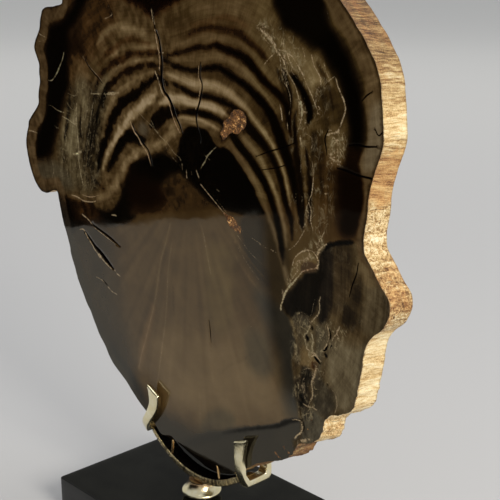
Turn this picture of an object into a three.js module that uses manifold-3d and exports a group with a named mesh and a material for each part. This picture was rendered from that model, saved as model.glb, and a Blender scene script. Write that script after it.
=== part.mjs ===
// Petrified wood slice on a brass cradle stand with a black block base.
//
// Millimetres, +Z up. The origin is the centre of the base's underside.
// The slice stands upright in the X-Z plane, its polished face looks along -Y,
// and the stem of the stand is on the Z axis.

import * as THREE from 'three';
import { mergeVertices } from 'three/addons/utils/BufferGeometryUtils.js';
import Module from 'manifold-3d';

const wasm = await Module();
wasm.setup();

// ---------------------------------------------------------------- dimensions
const GAP = 0.3; // play between neighbouring pieces

const BASE_X = 156; // block, long side
const BASE_Y = 100; // block, short side
const BASE_Z = 22; // block height
const BASE_CHAMFER = 0.9;
const BASE_CORNER_R = 1.0;

const SPIGOT_R = 4.0; // round spigot under the knop, let into the block
const SPIGOT_DEPTH = 14.0;
const HOLE_R = SPIGOT_R + GAP;
const HOLE_DEPTH = SPIGOT_DEPTH + 0.5;

const SLAB_T = 15.6; // slice thickness

const ARC_R_TOP = 57.5; // radius of the arc bar's upper face
const ARC_W = 9.6; // bar width, along Y
const ARC_LOW = 15.4; // lowest point of the bar's upper face, above the block
const ARC_BEVEL = 0.7;
// Bar by angle from straight down (positive toward +X): degrees, radius of the
// upper face, thickness. It thins toward both ends and flattens into the right clip.
const ARC_BAR = [
  [-50, 57.5, 2.7], [-35, 57.5, 2.7], [-28, 57.5, 3.1], [-20, 57.5, 3.5], [-10, 57.5, 3.9],
  [0, 57.5, 4.4], [10, 57.5, 4.4], [22, 57.5, 4.1], [34, 57.5, 4.0], [39, 58.2, 3.8],
  [44, 60.3, 3.5], [50, 63.5, 3.3],
];

const PIN_R = 0.9; // two rest pins between the bar and the slice
const PIN_Y = -3.4;
const PIN_LEFT = { foot: -23.2, head: -22.0 }; // X at each end
const PIN_RIGHT = { foot: 20.1, head: 18.4 };

// Outline of the slice, X and height above the block's top face, anticlockwise
// seen from the polished side, from the upper left corner.
const SLAB_OUTLINE = [
  [-113.9, 288.4], [-114.9, 286.0], [-119.3, 285.2], [-124.6, 284.4], [-131.8, 283.5],
  [-136.3, 281.8], [-137.9, 278.9], [-139.7, 275.0], [-140.6, 270.0], [-143.3, 266.4],
  [-146.0, 262.8], [-147.7, 258.8], [-147.4, 255.8], [-144.8, 251.5], [-143.2, 248.1],
  [-143.7, 243.1], [-143.3, 238.1], [-144.8, 232.9], [-146.2, 227.7], [-146.7, 222.6],
  [-152.0, 216.9], [-157.3, 212.1], [-159.5, 209.8], [-160.3, 205.5], [-162.2, 202.1],
  [-163.8, 196.6], [-163.7, 191.3], [-162.2, 184.1], [-159.9, 178.0], [-156.6, 172.0],
  [-152.3, 167.4], [-147.7, 164.9], [-141.2, 165.1], [-136.3, 167.1], [-132.5, 168.3],
  [-129.5, 167.4], [-128.4, 162.8], [-126.3, 154.8], [-124.2, 147.7], [-121.1, 140.9],
  [-118.1, 133.0], [-117.5, 129.0], [-114.6, 122.2], [-110.8, 113.3], [-106.8, 106.6],
  [-102.8, 100.1], [-97.9, 94.2], [-94.8, 89.1], [-90.0, 81.7], [-83.6, 74.8], [-77.3, 66.9],
  [-70.8, 62.3], [-62.7, 57.2], [-54.8, 51.0], [-48.5, 46.5], [-43.8, 43.8], [-39.5, 40.9],
  [-34.0, 37.0], [-29.3, 33.3], [-26.2, 32.8], [-18.8, 34.8], [-14.6, 32.9], [-9.8, 33.0],
  [-5.1, 31.8], [0.2, 31.2], [5.9, 30.8], [12.9, 31.3], [19.1, 31.5], [23.0, 31.4], [28.4, 31.1],
  [33.9, 31.1], [37.7, 30.7], [38.5, 32.6], [44.0, 35.8], [48.6, 38.7], [52.3, 41.5], [56.5, 44.7],
  [61.1, 47.0], [65.0, 48.9], [68.2, 50.4], [71.5, 51.8], [75.0, 53.6], [78.0, 55.5], [80.9, 57.8],
  [83.6, 60.2], [85.1, 62.2], [86.3, 65.2], [88.2, 67.6], [91.2, 69.3], [94.5, 70.7], [98.7, 72.9],
  [102.3, 76.1], [104.1, 79.0], [105.3, 82.4], [105.7, 85.8], [107.6, 88.9], [113.1, 92.3],
  [120.2, 95.5], [124.4, 99.4], [125.9, 103.6], [127.2, 110.0], [128.8, 117.9], [130.0, 125.0],
  [131.1, 131.9],
  [132.6, 136.4], [136.4, 141.5], [141.6, 146.1], [144.2, 150.8], [145.5, 155.1], [145.2, 160.5],
  [142.7, 163.8], [139.7, 167.0], [136.6, 171.0], [133.5, 175.0], [131.0, 178.3], [128.9, 181.7],
  [128.3, 187.7], [129.1, 193.3], [130.4, 201.2], [130.7, 208.8], [132.4, 215.1], [134.1, 220.6],
  [136.1, 226.0], [137.8, 231.4], [138.5, 235.8], [138.1, 241.5], [137.2, 248.6], [136.2, 255.6],
  [135.5, 261.3], [133.9, 266.1], [132.0, 270.1], [128.5, 274.8], [125.0, 280.2], [121.6, 284.2],
  [117.6, 288.9], [113.7, 292.9], [110.7, 296.0], [105.0, 302.4], [98.5, 308.8], [91.0, 315.6],
  [83.0, 322.4], [74.0, 328.6], [64.0, 333.0], [53.0, 334.4], [41.0, 332.8], [28.0, 328.3],
  [16.0, 322.0], [5.0, 315.0], [-5.0, 308.5], [-14.5, 303.0], [-22.5, 299.6], [-29.5, 298.6],
  [-36.5, 300.3], [-44.0, 304.5], [-52.0, 309.5], [-62.0, 313.8], [-73.0, 316.0], [-84.0, 315.3],
  [-94.0, 312.0], [-102.5, 307.0], [-109.0, 300.5], [-112.5, 293.5],
];

// How far the rear outline sits below the front one along the lower edge: X, drop.
const SLAB_DROP = [
  [-118, 0], [-100, 1.2], [-75, 1.6], [-60, 2.4], [-50, 3.4], [-43, 4.4], [-38, 5.0], [-34, 7.6],
  [-29, 10.2], [-25, 12.4], [-19, 17.2], [-14, 17.0], [-9, 18.0], [-4, 17.8], [2, 17.4], [7, 16.6],
  [13, 15.4], [19, 13.4], [23, 11.4], [28, 8.2], [34, 4.2], [38, 2.0], [44, 1.8], [49, 3.0],
  [56, 3.4], [70, 2.6], [86, 2.3], [94, 2.5], [100, 3.0], [104, 3.2], [112, 2.8], [118, 2.4],
  [124, 1.6], [132, 0],
];
const SLAB_FLARE = 1.2; // the rear outline stands out this much at the right edge

// Half section of the knop: radius, height above the block.
const KNOP_PROFILE = [
  [0, -SPIGOT_DEPTH], [SPIGOT_R - 0.6, -SPIGOT_DEPTH], [SPIGOT_R, 0.6 - SPIGOT_DEPTH],
  [SPIGOT_R, GAP], [6.0, GAP], [6.0, 1.2], [6.5, 1.7], [8.6, 2.1], [10.8, 2.5], [11.7, 2.9],
  [12.0, 3.5], [11.8, 4.2], [11.1, 4.9], [10.1, 5.7], [9.2, 6.7], [8.4, 7.9], [7.8, 9.2],
  [7.5, 10.1], [7.5, ARC_LOW - 4.4 - GAP], [0, ARC_LOW - 4.4 - GAP],
];

// Section of a clip across the slice: Y, height above the clip's underside.
// The two arms open just below the slice's edge, stand straight beside it, and
// their ends curl outward. Heights above CLIP_STRAIGHT are stretched to the arm's length.
const CLIP_STRAIGHT = 18;
const CLIP_TIP = 31.3;
const CLIP_FRONT_OUTER = [
  [-5.6, 0], [-6.9, 0.8], [-8.4, 3.0], [-10.2, 6.8], [-11.3, 10.2], [-11.8, 14], [-12.0, 18],
  [-12.0, 22], [-12.3, 25.5], [-12.8, 28.6], [-13.6, 31.3],
];
const CLIP_FRONT_INNER = [
  [-10.6, 31.3], [-9.6, 28.6], [-8.9, 25.5], [-8.5, 22], [-8.2, 18], [-8.1, 14], [-8.1, 9.2],
  [-7.0, 6.9], [-5.7, 5.0], [-4.6, 4.1],
];
const CLIP_BACK_INNER = [
  [5.6, 4.1], [7.2, 5.2], [8.1, 7.3], [8.1, 9.2], [8.1, 14], [8.2, 18], [8.5, 22], [8.9, 25.5],
  [9.6, 28.6], [10.6, 31.3],
];
const CLIP_BACK_OUTER = [
  [13.6, 31.3], [12.8, 28.6], [12.3, 25.5], [12.0, 22], [12.0, 18], [11.9, 14], [11.9, 8],
  [11.8, 3.4], [10.9, 1.1], [8.6, 0],
];

// Path of each clip: height along the clip, then X, height above the block,
// strip width, and tilt of the strip's width in degrees (positive rises to +X).
const CLIP_LEFT_PATH = [
  [0, -45.6, 30.9, 6.4, -40], [4, -43.3, 33.6, 6.4, -40], [8, -40.7, 36.9, 6.4, -39],
  [12.5, -37.4, 40.9, 6.4, -35], [18, -33.8, 46.0, 6.6, -28], [24, -31.0, 51.5, 7.6, -23],
  [30, -29.9, 57.1, 9.3, -23], [35.8, -29.3, 62.6, 11.6, -26],
];
const CLIP_RIGHT_PATH = [
  [0, 45.2, 25.6, 6.4, 4], [8, 45.1, 33.6, 6.4, 4], [18, 45.0, 43.6, 6.4, 4],
  [22, 45.4, 47.6, 7.3, 9], [26.5, 46.4, 52.1, 8.8, 15], [31.3, 47.9, 56.9, 10.4, 21],
];

const ARC_END_LEFT = { x: -41.7, z: 29.9, tilt: -40 }; // where the bar meets each clip
const ARC_END_RIGHT = { x: 41.6, z: 28.0, tilt: 0 };

// ---------------------------------------------------------------- helpers
function toSolid(geometry) {
  const bare = geometry.clone();
  bare.deleteAttribute('normal');
  bare.deleteAttribute('uv');
  const g = mergeVertices(bare, 1e-4);
  return new wasm.Manifold(new wasm.Mesh({
    numProp: 3,
    vertProperties: new Float32Array(g.attributes.position.array),
    triVerts: new Uint32Array(g.index.array),
  }));
}

function toGeometry(solid) {
  const mesh = solid.getMesh();
  const g = new THREE.BufferGeometry();
  g.setAttribute('position', new THREE.BufferAttribute(new Float32Array(mesh.vertProperties), 3));
  g.setIndex(new THREE.BufferAttribute(new Uint32Array(mesh.triVerts), 1));
  g.computeVertexNormals();
  return g;
}

// A cylinder along Z between two heights.
function cylinderZ(radius, z0, z1, sides) {
  return new THREE.CylinderGeometry(radius, radius, z1 - z0, sides)
    .rotateX(Math.PI / 2)
    .translate(0, 0, (z0 + z1) / 2);
}

// A body of revolution about Z from [radius, z] pairs that start and end on the axis.
function lathe(profile, segments) {
  const points = profile.map(([r, z]) => new THREE.Vector2(r, z));
  return new THREE.LatheGeometry(points, segments).rotateX(Math.PI / 2);
}

// Value of a table [[s, a, b, ...], ...] at s, eased through its rows.
function along(table, s) {
  const rows = table.length;
  let i = 0;
  while (i < rows - 2 && s > table[i + 1][0]) i += 1;
  const at = (k) => table[Math.min(rows - 1, Math.max(0, k))];
  const [p0, p1, p2, p3] = [at(i - 1), at(i), at(i + 1), at(i + 2)];
  const t = (s - p1[0]) / (p2[0] - p1[0]);
  return p1.slice(1).map((_, k) => {
    const c = k + 1;
    const m1 = p2[0] - p0[0] > 0 ? (p2[c] - p0[c]) / (p2[0] - p0[0]) : 0;
    const m2 = p3[0] - p1[0] > 0 ? (p3[c] - p1[c]) / (p3[0] - p1[0]) : 0;
    const h = p2[0] - p1[0];
    const t2 = t * t;
    const t3 = t2 * t;
    return (2 * t3 - 3 * t2 + 1) * p1[c] + (t3 - 2 * t2 + t) * h * m1
      + (-2 * t3 + 3 * t2) * p2[c] + (t3 - t2) * h * m2;
  });
}

function material(color, roughness, metalness) {
  return new THREE.MeshStandardMaterial({ color, roughness, metalness });
}

function named(name, geometry, look) {
  const mesh = new THREE.Mesh(geometry, look);
  mesh.name = name;
  return mesh;
}

// ---------------------------------------------------------------- pieces
// The rear outline's point behind a point of the front outline.
function rearOf([x, z]) {
  const low = 1 - THREE.MathUtils.smoothstep(z, 88, 112);
  const drop = low > 0 && x > -118 && x < 132 ? along(SLAB_DROP, x)[0] * low : 0;
  const right = THREE.MathUtils.smoothstep(x, 60, 125);
  return [x + SLAB_FLARE * right, z - drop];
}

function slab() {
  const n = SLAB_OUTLINE.length;
  const rear = SLAB_OUTLINE.map(rearOf);
  const middle = SLAB_OUTLINE.map(([x, z], i) => [(x + rear[i][0]) / 2, (z + rear[i][1]) / 2]);
  const rings = [[-SLAB_T / 2, SLAB_OUTLINE], [0, middle], [SLAB_T / 2, rear]];
  const positions = [];
  rings.forEach(([y, ring]) => ring.forEach(([x, z]) => positions.push(x, y, z + BASE_Z)));
  const cap = (ring) => THREE.ShapeUtils.triangulateShape(
    ring.map(([x, z]) => new THREE.Vector2(x, z)), [],
  );
  const index = [];
  cap(SLAB_OUTLINE).forEach(([a, b, c]) => index.push(a, b, c));
  cap(rear).forEach(([a, b, c]) => index.push(a + 2 * n, c + 2 * n, b + 2 * n));
  for (let r = 0; r < 2; r += 1) {
    for (let i = 0; i < n; i += 1) {
      const j = (i + 1) % n;
      const [a, b, c, d] = [r * n + i, r * n + j, (r + 1) * n + i, (r + 1) * n + j];
      index.push(a, c, b, b, c, d);
    }
  }
  const geometry = new THREE.BufferGeometry();
  geometry.setAttribute('position', new THREE.Float32BufferAttribute(positions, 3));
  geometry.setIndex(index);
  geometry.computeVertexNormals();
  return geometry;
}

// Height of the slice's underside above the block at X, Y.
function underside(x, y) {
  for (let i = 0; i < SLAB_OUTLINE.length - 1; i += 1) {
    const [p, q] = [SLAB_OUTLINE[i], SLAB_OUTLINE[i + 1]];
    if (p[1] < 60 && q[1] < 60 && p[0] <= x && x < q[0]) {
      const t = (x - p[0]) / (q[0] - p[0]);
      const front = p[1] + t * (q[1] - p[1]);
      const back = rearOf(p)[1] + t * (rearOf(q)[1] - rearOf(p)[1]);
      return front + ((y + SLAB_T / 2) / SLAB_T) * (back - front);
    }
  }
  throw new Error('no lower edge at this X');
}

function base() {
  const x = BASE_X / 2 - BASE_CHAMFER;
  const y = BASE_Y / 2 - BASE_CHAMFER;
  const r = BASE_CORNER_R;
  const shape = new THREE.Shape();
  shape.moveTo(-x + r, -y);
  shape.lineTo(x - r, -y);
  shape.absarc(x - r, -y + r, r, -Math.PI / 2, 0, false);
  shape.lineTo(x, y - r);
  shape.absarc(x - r, y - r, r, 0, Math.PI / 2, false);
  shape.lineTo(-x + r, y);
  shape.absarc(-x + r, y - r, r, Math.PI / 2, Math.PI, false);
  shape.lineTo(-x, -y + r);
  shape.absarc(-x + r, -y + r, r, Math.PI, 1.5 * Math.PI, false);
  const block = new THREE.ExtrudeGeometry(shape, {
    depth: BASE_Z - 2 * BASE_CHAMFER,
    steps: 1,
    curveSegments: 4,
    bevelEnabled: true,
    bevelThickness: BASE_CHAMFER,
    bevelSize: BASE_CHAMFER,
    bevelSegments: 1,
  }).translate(0, 0, BASE_CHAMFER);
  const hole = toSolid(cylinderZ(HOLE_R, BASE_Z - HOLE_DEPTH, BASE_Z + 1, 36));
  return toGeometry(toSolid(block).subtract(hole));
}

function knop() {
  return lathe(KNOP_PROFILE, 56).translate(0, 0, BASE_Z);
}

// Point on the bar's upper or lower face at an angle, drawn in by `inset`.
function arcPoint(degrees, lower, inset) {
  const [radius, thick] = along(ARC_BAR, degrees);
  const r = lower ? radius + thick - inset : radius + inset;
  const a = THREE.MathUtils.degToRad(degrees);
  return [r * Math.sin(a), ARC_LOW + ARC_R_TOP - r * Math.cos(a)];
}

// Angle at which a face of the bar reaches the plane at one of its ends.
function arcCut(end, side, lower, inset) {
  const t = THREE.MathUtils.degToRad(end.tilt);
  const n = [Math.cos(t), Math.sin(t)]; // normal of the end plane, in X and Z
  let lo = 0;
  let hi = 50;
  for (let i = 0; i < 60; i += 1) {
    const a = (lo + hi) / 2;
    const p = arcPoint(side * a, lower, inset);
    const d = ((p[0] - end.x) * n[0] + (p[1] - end.z) * n[1]) * side + inset;
    if (d < 0) lo = a; else hi = a;
  }
  return (side * (lo + hi)) / 2;
}

function arc() {
  const b = ARC_BEVEL;
  const steps = 56;
  const row = (lower) => {
    const from = arcCut(ARC_END_LEFT, -1, lower, b);
    const to = arcCut(ARC_END_RIGHT, 1, lower, b);
    return Array.from({ length: steps + 1 }, (_, i) => (
      new THREE.Vector2(...arcPoint(from + ((to - from) * i) / steps, lower, b))));
  };
  const shape = new THREE.Shape([...row(true), ...row(false).reverse()]);
  return new THREE.ExtrudeGeometry(shape, {
    depth: ARC_W - 2 * b,
    steps: 1,
    bevelEnabled: true,
    bevelThickness: b,
    bevelSize: b,
    bevelSegments: 2,
  })
    .rotateX(Math.PI / 2)
    .translate(0, ARC_W / 2 - b, BASE_Z);
}

// A rest pin: its foot follows the bar's upper face, its head the slice's underside.
function pin({ foot, head }) {
  const geometry = new THREE.CylinderGeometry(PIN_R, PIN_R, 1, 20, 1).rotateX(Math.PI / 2);
  const p = geometry.attributes.position;
  for (let i = 0; i < p.count; i += 1) {
    const up = p.getZ(i) > 0;
    const x = (up ? head : foot) + p.getX(i);
    const y = PIN_Y + p.getY(i);
    const z = up
      ? underside(x, y) - 2 * GAP
      : ARC_LOW + ARC_R_TOP - Math.sqrt(ARC_R_TOP ** 2 - x * x) + GAP;
    p.setXYZ(i, x, y, BASE_Z + z);
  }
  geometry.computeVertexNormals();
  return geometry;
}

function clip(path) {
  const length = path[path.length - 1][0];
  const stretch = (h) => (h <= CLIP_STRAIGHT ? h
    : CLIP_STRAIGHT + ((h - CLIP_STRAIGHT) * (length - CLIP_STRAIGHT)) / (CLIP_TIP - CLIP_STRAIGHT));
  const section = [...CLIP_FRONT_OUTER, ...CLIP_FRONT_INNER, ...CLIP_BACK_INNER, ...CLIP_BACK_OUTER]
    .map(([y, h]) => new THREE.Vector2(y, stretch(h)));
  const geometry = new THREE.ExtrudeGeometry(new THREE.Shape(section), {
    depth: 1, steps: 1, bevelEnabled: false,
  });
  const p = geometry.attributes.position;
  for (let i = 0; i < p.count; i += 1) {
    const across = p.getZ(i) - 0.5;
    const h = p.getY(i);
    const [x, z, w, tilt] = along(path, h);
    const t = THREE.MathUtils.degToRad(tilt);
    p.setXYZ(i, x + across * w * Math.cos(t), p.getX(i), BASE_Z + z + across * w * Math.sin(t));
  }
  geometry.computeVertexNormals();
  return geometry;
}

// ---------------------------------------------------------------- assembly
const object = new THREE.Group();
object.name = 'petrified_wood_on_stand';

object.add(named('petrified_wood_slab', slab(), material(0x3a2f22, 0.12, 0)));

const stand = new THREE.Group();
stand.name = 'stand';
stand.add(named('stand_base', base(), material(0x0c0c0b, 0.08, 0)));
stand.add(named('stem_knop', knop(), material(0xc9b36a, 0.18, 1)));
stand.add(named('cradle_arc', arc(), material(0xc9b36a, 0.18, 1)));
stand.add(named('clip_left', clip(CLIP_LEFT_PATH), material(0xc9b36a, 0.22, 1)));
stand.add(named('clip_right', clip(CLIP_RIGHT_PATH), material(0xc9b36a, 0.22, 1)));
stand.add(named('rest_pin_left', pin(PIN_LEFT), material(0xc9b36a, 0.22, 1)));
stand.add(named('rest_pin_right', pin(PIN_RIGHT), material(0xc9b36a, 0.22, 1)));
object.add(stand);

export default object;
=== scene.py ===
# Petrified wood slice on a brass cradle stand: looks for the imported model.
# Lengths below are in millimetres in the row frame; meshes are scaled to metres when made.
import math

import bpy
import numpy as np
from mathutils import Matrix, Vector, geometry


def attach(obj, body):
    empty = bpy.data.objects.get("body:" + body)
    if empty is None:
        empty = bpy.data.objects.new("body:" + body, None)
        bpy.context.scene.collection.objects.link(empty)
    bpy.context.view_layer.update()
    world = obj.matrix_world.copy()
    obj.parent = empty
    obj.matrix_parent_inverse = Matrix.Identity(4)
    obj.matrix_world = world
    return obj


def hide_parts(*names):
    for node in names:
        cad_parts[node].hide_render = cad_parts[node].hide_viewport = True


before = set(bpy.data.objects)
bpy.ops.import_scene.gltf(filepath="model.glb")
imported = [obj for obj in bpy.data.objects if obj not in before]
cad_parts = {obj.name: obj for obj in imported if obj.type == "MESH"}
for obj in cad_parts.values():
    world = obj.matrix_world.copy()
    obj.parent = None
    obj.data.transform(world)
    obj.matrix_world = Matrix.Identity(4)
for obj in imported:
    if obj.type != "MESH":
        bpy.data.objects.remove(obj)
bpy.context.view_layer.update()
scene = bpy.context.scene
MM = 0.001

# ------------------------------------------------------------------ dimensions (as in the CAD source)
GAP = 0.3
BASE_X, BASE_Y, BASE_Z = 156.0, 100.0, 22.0
SLAB_T = 15.6
SPIGOT_R, SPIGOT_DEPTH = 4.0, 14.0
HOLE_R, HOLE_DEPTH = 4.3, 14.5
ARC_R_TOP, ARC_W, ARC_LOW = 57.5, 9.6, 15.4
ARC_BAR = [
    (-50, 57.5, 2.7), (-35, 57.5, 2.7), (-28, 57.5, 3.1), (-20, 57.5, 3.5), (-10, 57.5, 3.9),
    (0, 57.5, 4.4), (10, 57.5, 4.4), (22, 57.5, 4.1), (34, 57.5, 4.0), (39, 58.2, 3.8),
    (44, 60.3, 3.5), (50, 63.5, 3.3)]
ARC_END_LEFT = (-41.7, 29.9, -40.0)
ARC_END_RIGHT = (41.6, 28.0, 0.0)
PIN_R, PIN_Y = 0.9, -3.4
PIN_LEFT = (-23.2, -22.0)
PIN_RIGHT = (20.1, 18.4)

SLAB_OUTLINE = [
    (-113.9, 288.4), (-114.9, 286.0), (-119.3, 285.2), (-124.6, 284.4), (-131.8, 283.5),
    (-136.3, 281.8), (-137.9, 278.9), (-139.7, 275.0), (-140.6, 270.0), (-143.3, 266.4),
    (-146.0, 262.8), (-147.7, 258.8), (-147.4, 255.8), (-144.8, 251.5), (-143.2, 248.1),
    (-143.7, 243.1), (-143.3, 238.1), (-144.8, 232.9), (-146.2, 227.7), (-146.7, 222.6),
    (-152.0, 216.9), (-157.3, 212.1), (-159.5, 209.8), (-160.3, 205.5), (-162.2, 202.1),
    (-163.8, 196.6), (-163.7, 191.3), (-162.2, 184.1), (-159.9, 178.0), (-156.6, 172.0),
    (-152.3, 167.4), (-147.7, 164.9), (-141.2, 165.1), (-136.3, 167.1), (-132.5, 168.3),
    (-129.5, 167.4), (-128.4, 162.8), (-126.3, 154.8), (-124.2, 147.7), (-121.1, 140.9),
    (-118.1, 133.0), (-117.5, 129.0), (-114.6, 122.2), (-110.8, 113.3), (-106.8, 106.6),
    (-102.8, 100.1), (-97.9, 94.2), (-94.8, 89.1), (-90.0, 81.7), (-83.6, 74.8), (-77.3, 66.9),
    (-70.8, 62.3), (-62.7, 57.2), (-54.8, 51.0), (-48.5, 46.5), (-43.8, 43.8), (-39.5, 40.9),
    (-34.0, 37.0), (-29.3, 33.3), (-26.2, 32.8), (-18.8, 34.8), (-14.6, 32.9), (-9.8, 33.0),
    (-5.1, 31.8), (0.2, 31.2), (5.9, 30.8), (12.9, 31.3), (19.1, 31.5), (23.0, 31.4), (28.4, 31.1),
    (33.9, 31.1), (37.7, 30.7), (38.5, 32.6), (44.0, 35.8), (48.6, 38.7), (52.3, 41.5), (56.5, 44.7),
    (61.1, 47.0), (65.0, 48.9), (68.2, 50.4), (71.5, 51.8), (75.0, 53.6), (78.0, 55.5), (80.9, 57.8),
    (83.6, 60.2), (85.1, 62.2), (86.3, 65.2), (88.2, 67.6), (91.2, 69.3), (94.5, 70.7), (98.7, 72.9),
    (102.3, 76.1), (104.1, 79.0), (105.3, 82.4), (105.7, 85.8), (107.6, 88.9), (113.1, 92.3),
    (120.2, 95.5), (124.4, 99.4), (125.9, 103.6), (127.2, 110.0), (128.8, 117.9), (130.0, 125.0),
    (131.1, 131.9),
    (132.6, 136.4), (136.4, 141.5), (141.6, 146.1), (144.2, 150.8), (145.5, 155.1), (145.2, 160.5),
    (142.7, 163.8), (139.7, 167.0), (136.6, 171.0), (133.5, 175.0), (131.0, 178.3), (128.9, 181.7),
    (128.3, 187.7), (129.1, 193.3), (130.4, 201.2), (130.7, 208.8), (132.4, 215.1), (134.1, 220.6),
    (136.1, 226.0), (137.8, 231.4), (138.5, 235.8), (138.1, 241.5), (137.2, 248.6), (136.2, 255.6),
    (135.5, 261.3), (133.9, 266.1), (132.0, 270.1), (128.5, 274.8), (125.0, 280.2), (121.6, 284.2),
    (117.6, 288.9), (113.7, 292.9), (110.7, 296.0), (105.0, 302.4), (98.5, 308.8), (91.0, 315.6),
    (83.0, 322.4), (74.0, 328.6), (64.0, 333.0), (53.0, 334.4), (41.0, 332.8), (28.0, 328.3),
    (16.0, 322.0), (5.0, 315.0), (-5.0, 308.5), (-14.5, 303.0), (-22.5, 299.6), (-29.5, 298.6),
    (-36.5, 300.3), (-44.0, 304.5), (-52.0, 309.5), (-62.0, 313.8), (-73.0, 316.0), (-84.0, 315.3),
    (-94.0, 312.0), (-102.5, 307.0), (-109.0, 300.5), (-112.5, 293.5)]
SLAB_DROP = [
    (-118, 0), (-100, 1.2), (-75, 1.6), (-60, 2.4), (-50, 3.4), (-43, 4.4), (-38, 5.0), (-34, 7.6),
    (-29, 10.2), (-25, 12.4), (-19, 17.2), (-14, 17.0), (-9, 18.0), (-4, 17.8), (2, 17.4), (7, 16.6),
    (13, 15.4), (19, 13.4), (23, 11.4), (28, 8.2), (34, 4.2), (38, 2.0), (44, 1.8), (49, 3.0),
    (56, 3.4), (70, 2.6), (86, 2.3), (94, 2.5), (100, 3.0), (104, 3.2), (112, 2.8), (118, 2.4),
    (124, 1.6), (132, 0)]
SLAB_FLARE = 1.2
PITH = (3.0, 198.0)

KNOP_PROFILE = [
    (0, -14.0), (3.4, -14.0), (4.0, -13.4), (4.0, 0.05), (6.0, 0.05), (6.0, 1.2), (6.5, 1.7), (8.6, 2.1),
    (10.8, 2.5), (11.7, 2.9), (12.0, 3.5), (11.8, 4.2), (11.1, 4.9), (10.1, 5.7), (9.2, 6.7),
    (8.4, 7.9), (7.8, 9.2), (7.5, 10.1), (7.5, 10.85), (0, 10.85)]

CLIP_STRAIGHT, CLIP_TIP = 18.0, 31.3
CLIP_FRONT_OUTER = [
    (-5.6, 0), (-6.9, 0.8), (-8.4, 3.0), (-10.2, 6.8), (-11.3, 10.2), (-11.8, 14), (-12.0, 18),
    (-12.0, 22), (-12.3, 25.5), (-12.8, 28.6), (-13.6, 31.3)]
CLIP_FRONT_INNER = [
    (-4.6, 4.1), (-5.7, 5.0), (-7.0, 6.9), (-8.1, 9.2), (-8.1, 14), (-8.2, 18),
    (-8.5, 22), (-8.9, 25.5), (-9.6, 28.6), (-10.6, 31.3)]
CLIP_BACK_INNER = [
    (5.6, 4.1), (7.2, 5.2), (8.1, 7.3), (8.1, 9.2), (8.1, 14), (8.2, 18), (8.5, 22), (8.9, 25.5),
    (9.6, 28.6), (10.6, 31.3)]
CLIP_BACK_OUTER = [
    (8.6, 0), (10.9, 1.1), (11.8, 3.4), (11.9, 8), (11.9, 14), (12.0, 18), (12.0, 22), (12.3, 25.5),
    (12.8, 28.6), (13.6, 31.3)]
CLIP_LEFT_PATH = [
    (0, -45.6, 30.9, 6.4, -40), (4, -43.3, 33.6, 6.4, -40), (8, -40.7, 36.9, 6.4, -39),
    (12.5, -37.4, 40.9, 6.4, -35), (18, -33.8, 46.0, 6.6, -28), (24, -31.0, 51.5, 7.6, -23),
    (30, -29.9, 57.1, 9.3, -23), (35.8, -29.3, 62.6, 11.6, -26)]
CLIP_RIGHT_PATH = [
    (0, 45.2, 25.6, 6.4, 4), (8, 45.1, 33.6, 6.4, 4), (18, 45.0, 43.6, 6.4, 4),
    (22, 45.4, 47.6, 7.3, 9), (26.5, 46.4, 52.1, 8.8, 15), (31.3, 47.9, 56.9, 10.4, 21)]


# ------------------------------------------------------------------ number helpers
def along(table, s):
    """Hermite lookup in rows (s, a, b, ...) for an array of s."""
    t = np.array(table, float)
    s = np.atleast_1d(np.asarray(s, float))
    i = np.clip(np.searchsorted(t[:, 0], s, side="left") - 1, 0, len(t) - 2)
    p0, p1, p2, p3 = t[np.maximum(i - 1, 0)], t[i], t[i + 1], t[np.minimum(i + 2, len(t) - 1)]
    h = (p2[:, 0] - p1[:, 0])[:, None]
    u = ((s - p1[:, 0]) / h[:, 0])[:, None]
    m1 = (p2 - p0) / (p2[:, :1] - p0[:, :1])
    m2 = (p3 - p1) / (p3[:, :1] - p1[:, :1])
    u2, u3 = u * u, u * u * u
    out = (2 * u3 - 3 * u2 + 1) * p1 + (u3 - 2 * u2 + u) * h * m1 + (-2 * u3 + 3 * u2) * p2 + (u3 - u2) * h * m2
    return out[:, 1:]


def smooth01(x):
    x = np.clip(x, 0, 1)
    return x * x * (3 - 2 * x)


def step(lo, hi, x):
    return smooth01((x - lo) / (hi - lo))


def hash2(ix, iy, seed):
    n = (ix.astype(np.int64) * 374761393 + iy.astype(np.int64) * 668265263 + seed * 974634777) & 0xFFFFFFFF
    n = ((n ^ (n >> 13)) * 1274126177) & 0xFFFFFFFF
    n = ((n ^ (n >> 15)) * 2246822519) & 0xFFFFFFFF
    return ((n ^ (n >> 16)) & 0xFFFFFF) / float(0xFFFFFF)


def vnoise(x, y, seed=0):
    """Smooth value noise in -1..1."""
    x0, y0 = np.floor(x), np.floor(y)
    fx, fy = smooth01(x - x0), smooth01(y - y0)
    a, b = hash2(x0, y0, seed), hash2(x0 + 1, y0, seed)
    c, d = hash2(x0, y0 + 1, seed), hash2(x0 + 1, y0 + 1, seed)
    return 2 * ((a * (1 - fx) + b * fx) * (1 - fy) + (c * (1 - fx) + d * fx) * fy) - 1


def fbm(x, y, octaves=4, seed=0):
    total, amp, norm = 0, 1.0, 0.0
    for k in range(octaves):
        total = total + amp * vnoise(x * 2 ** k + 17.3 * k, y * 2 ** k - 9.1 * k, seed + 31 * k)
        norm += amp
        amp *= 0.5
    return total / norm


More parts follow.
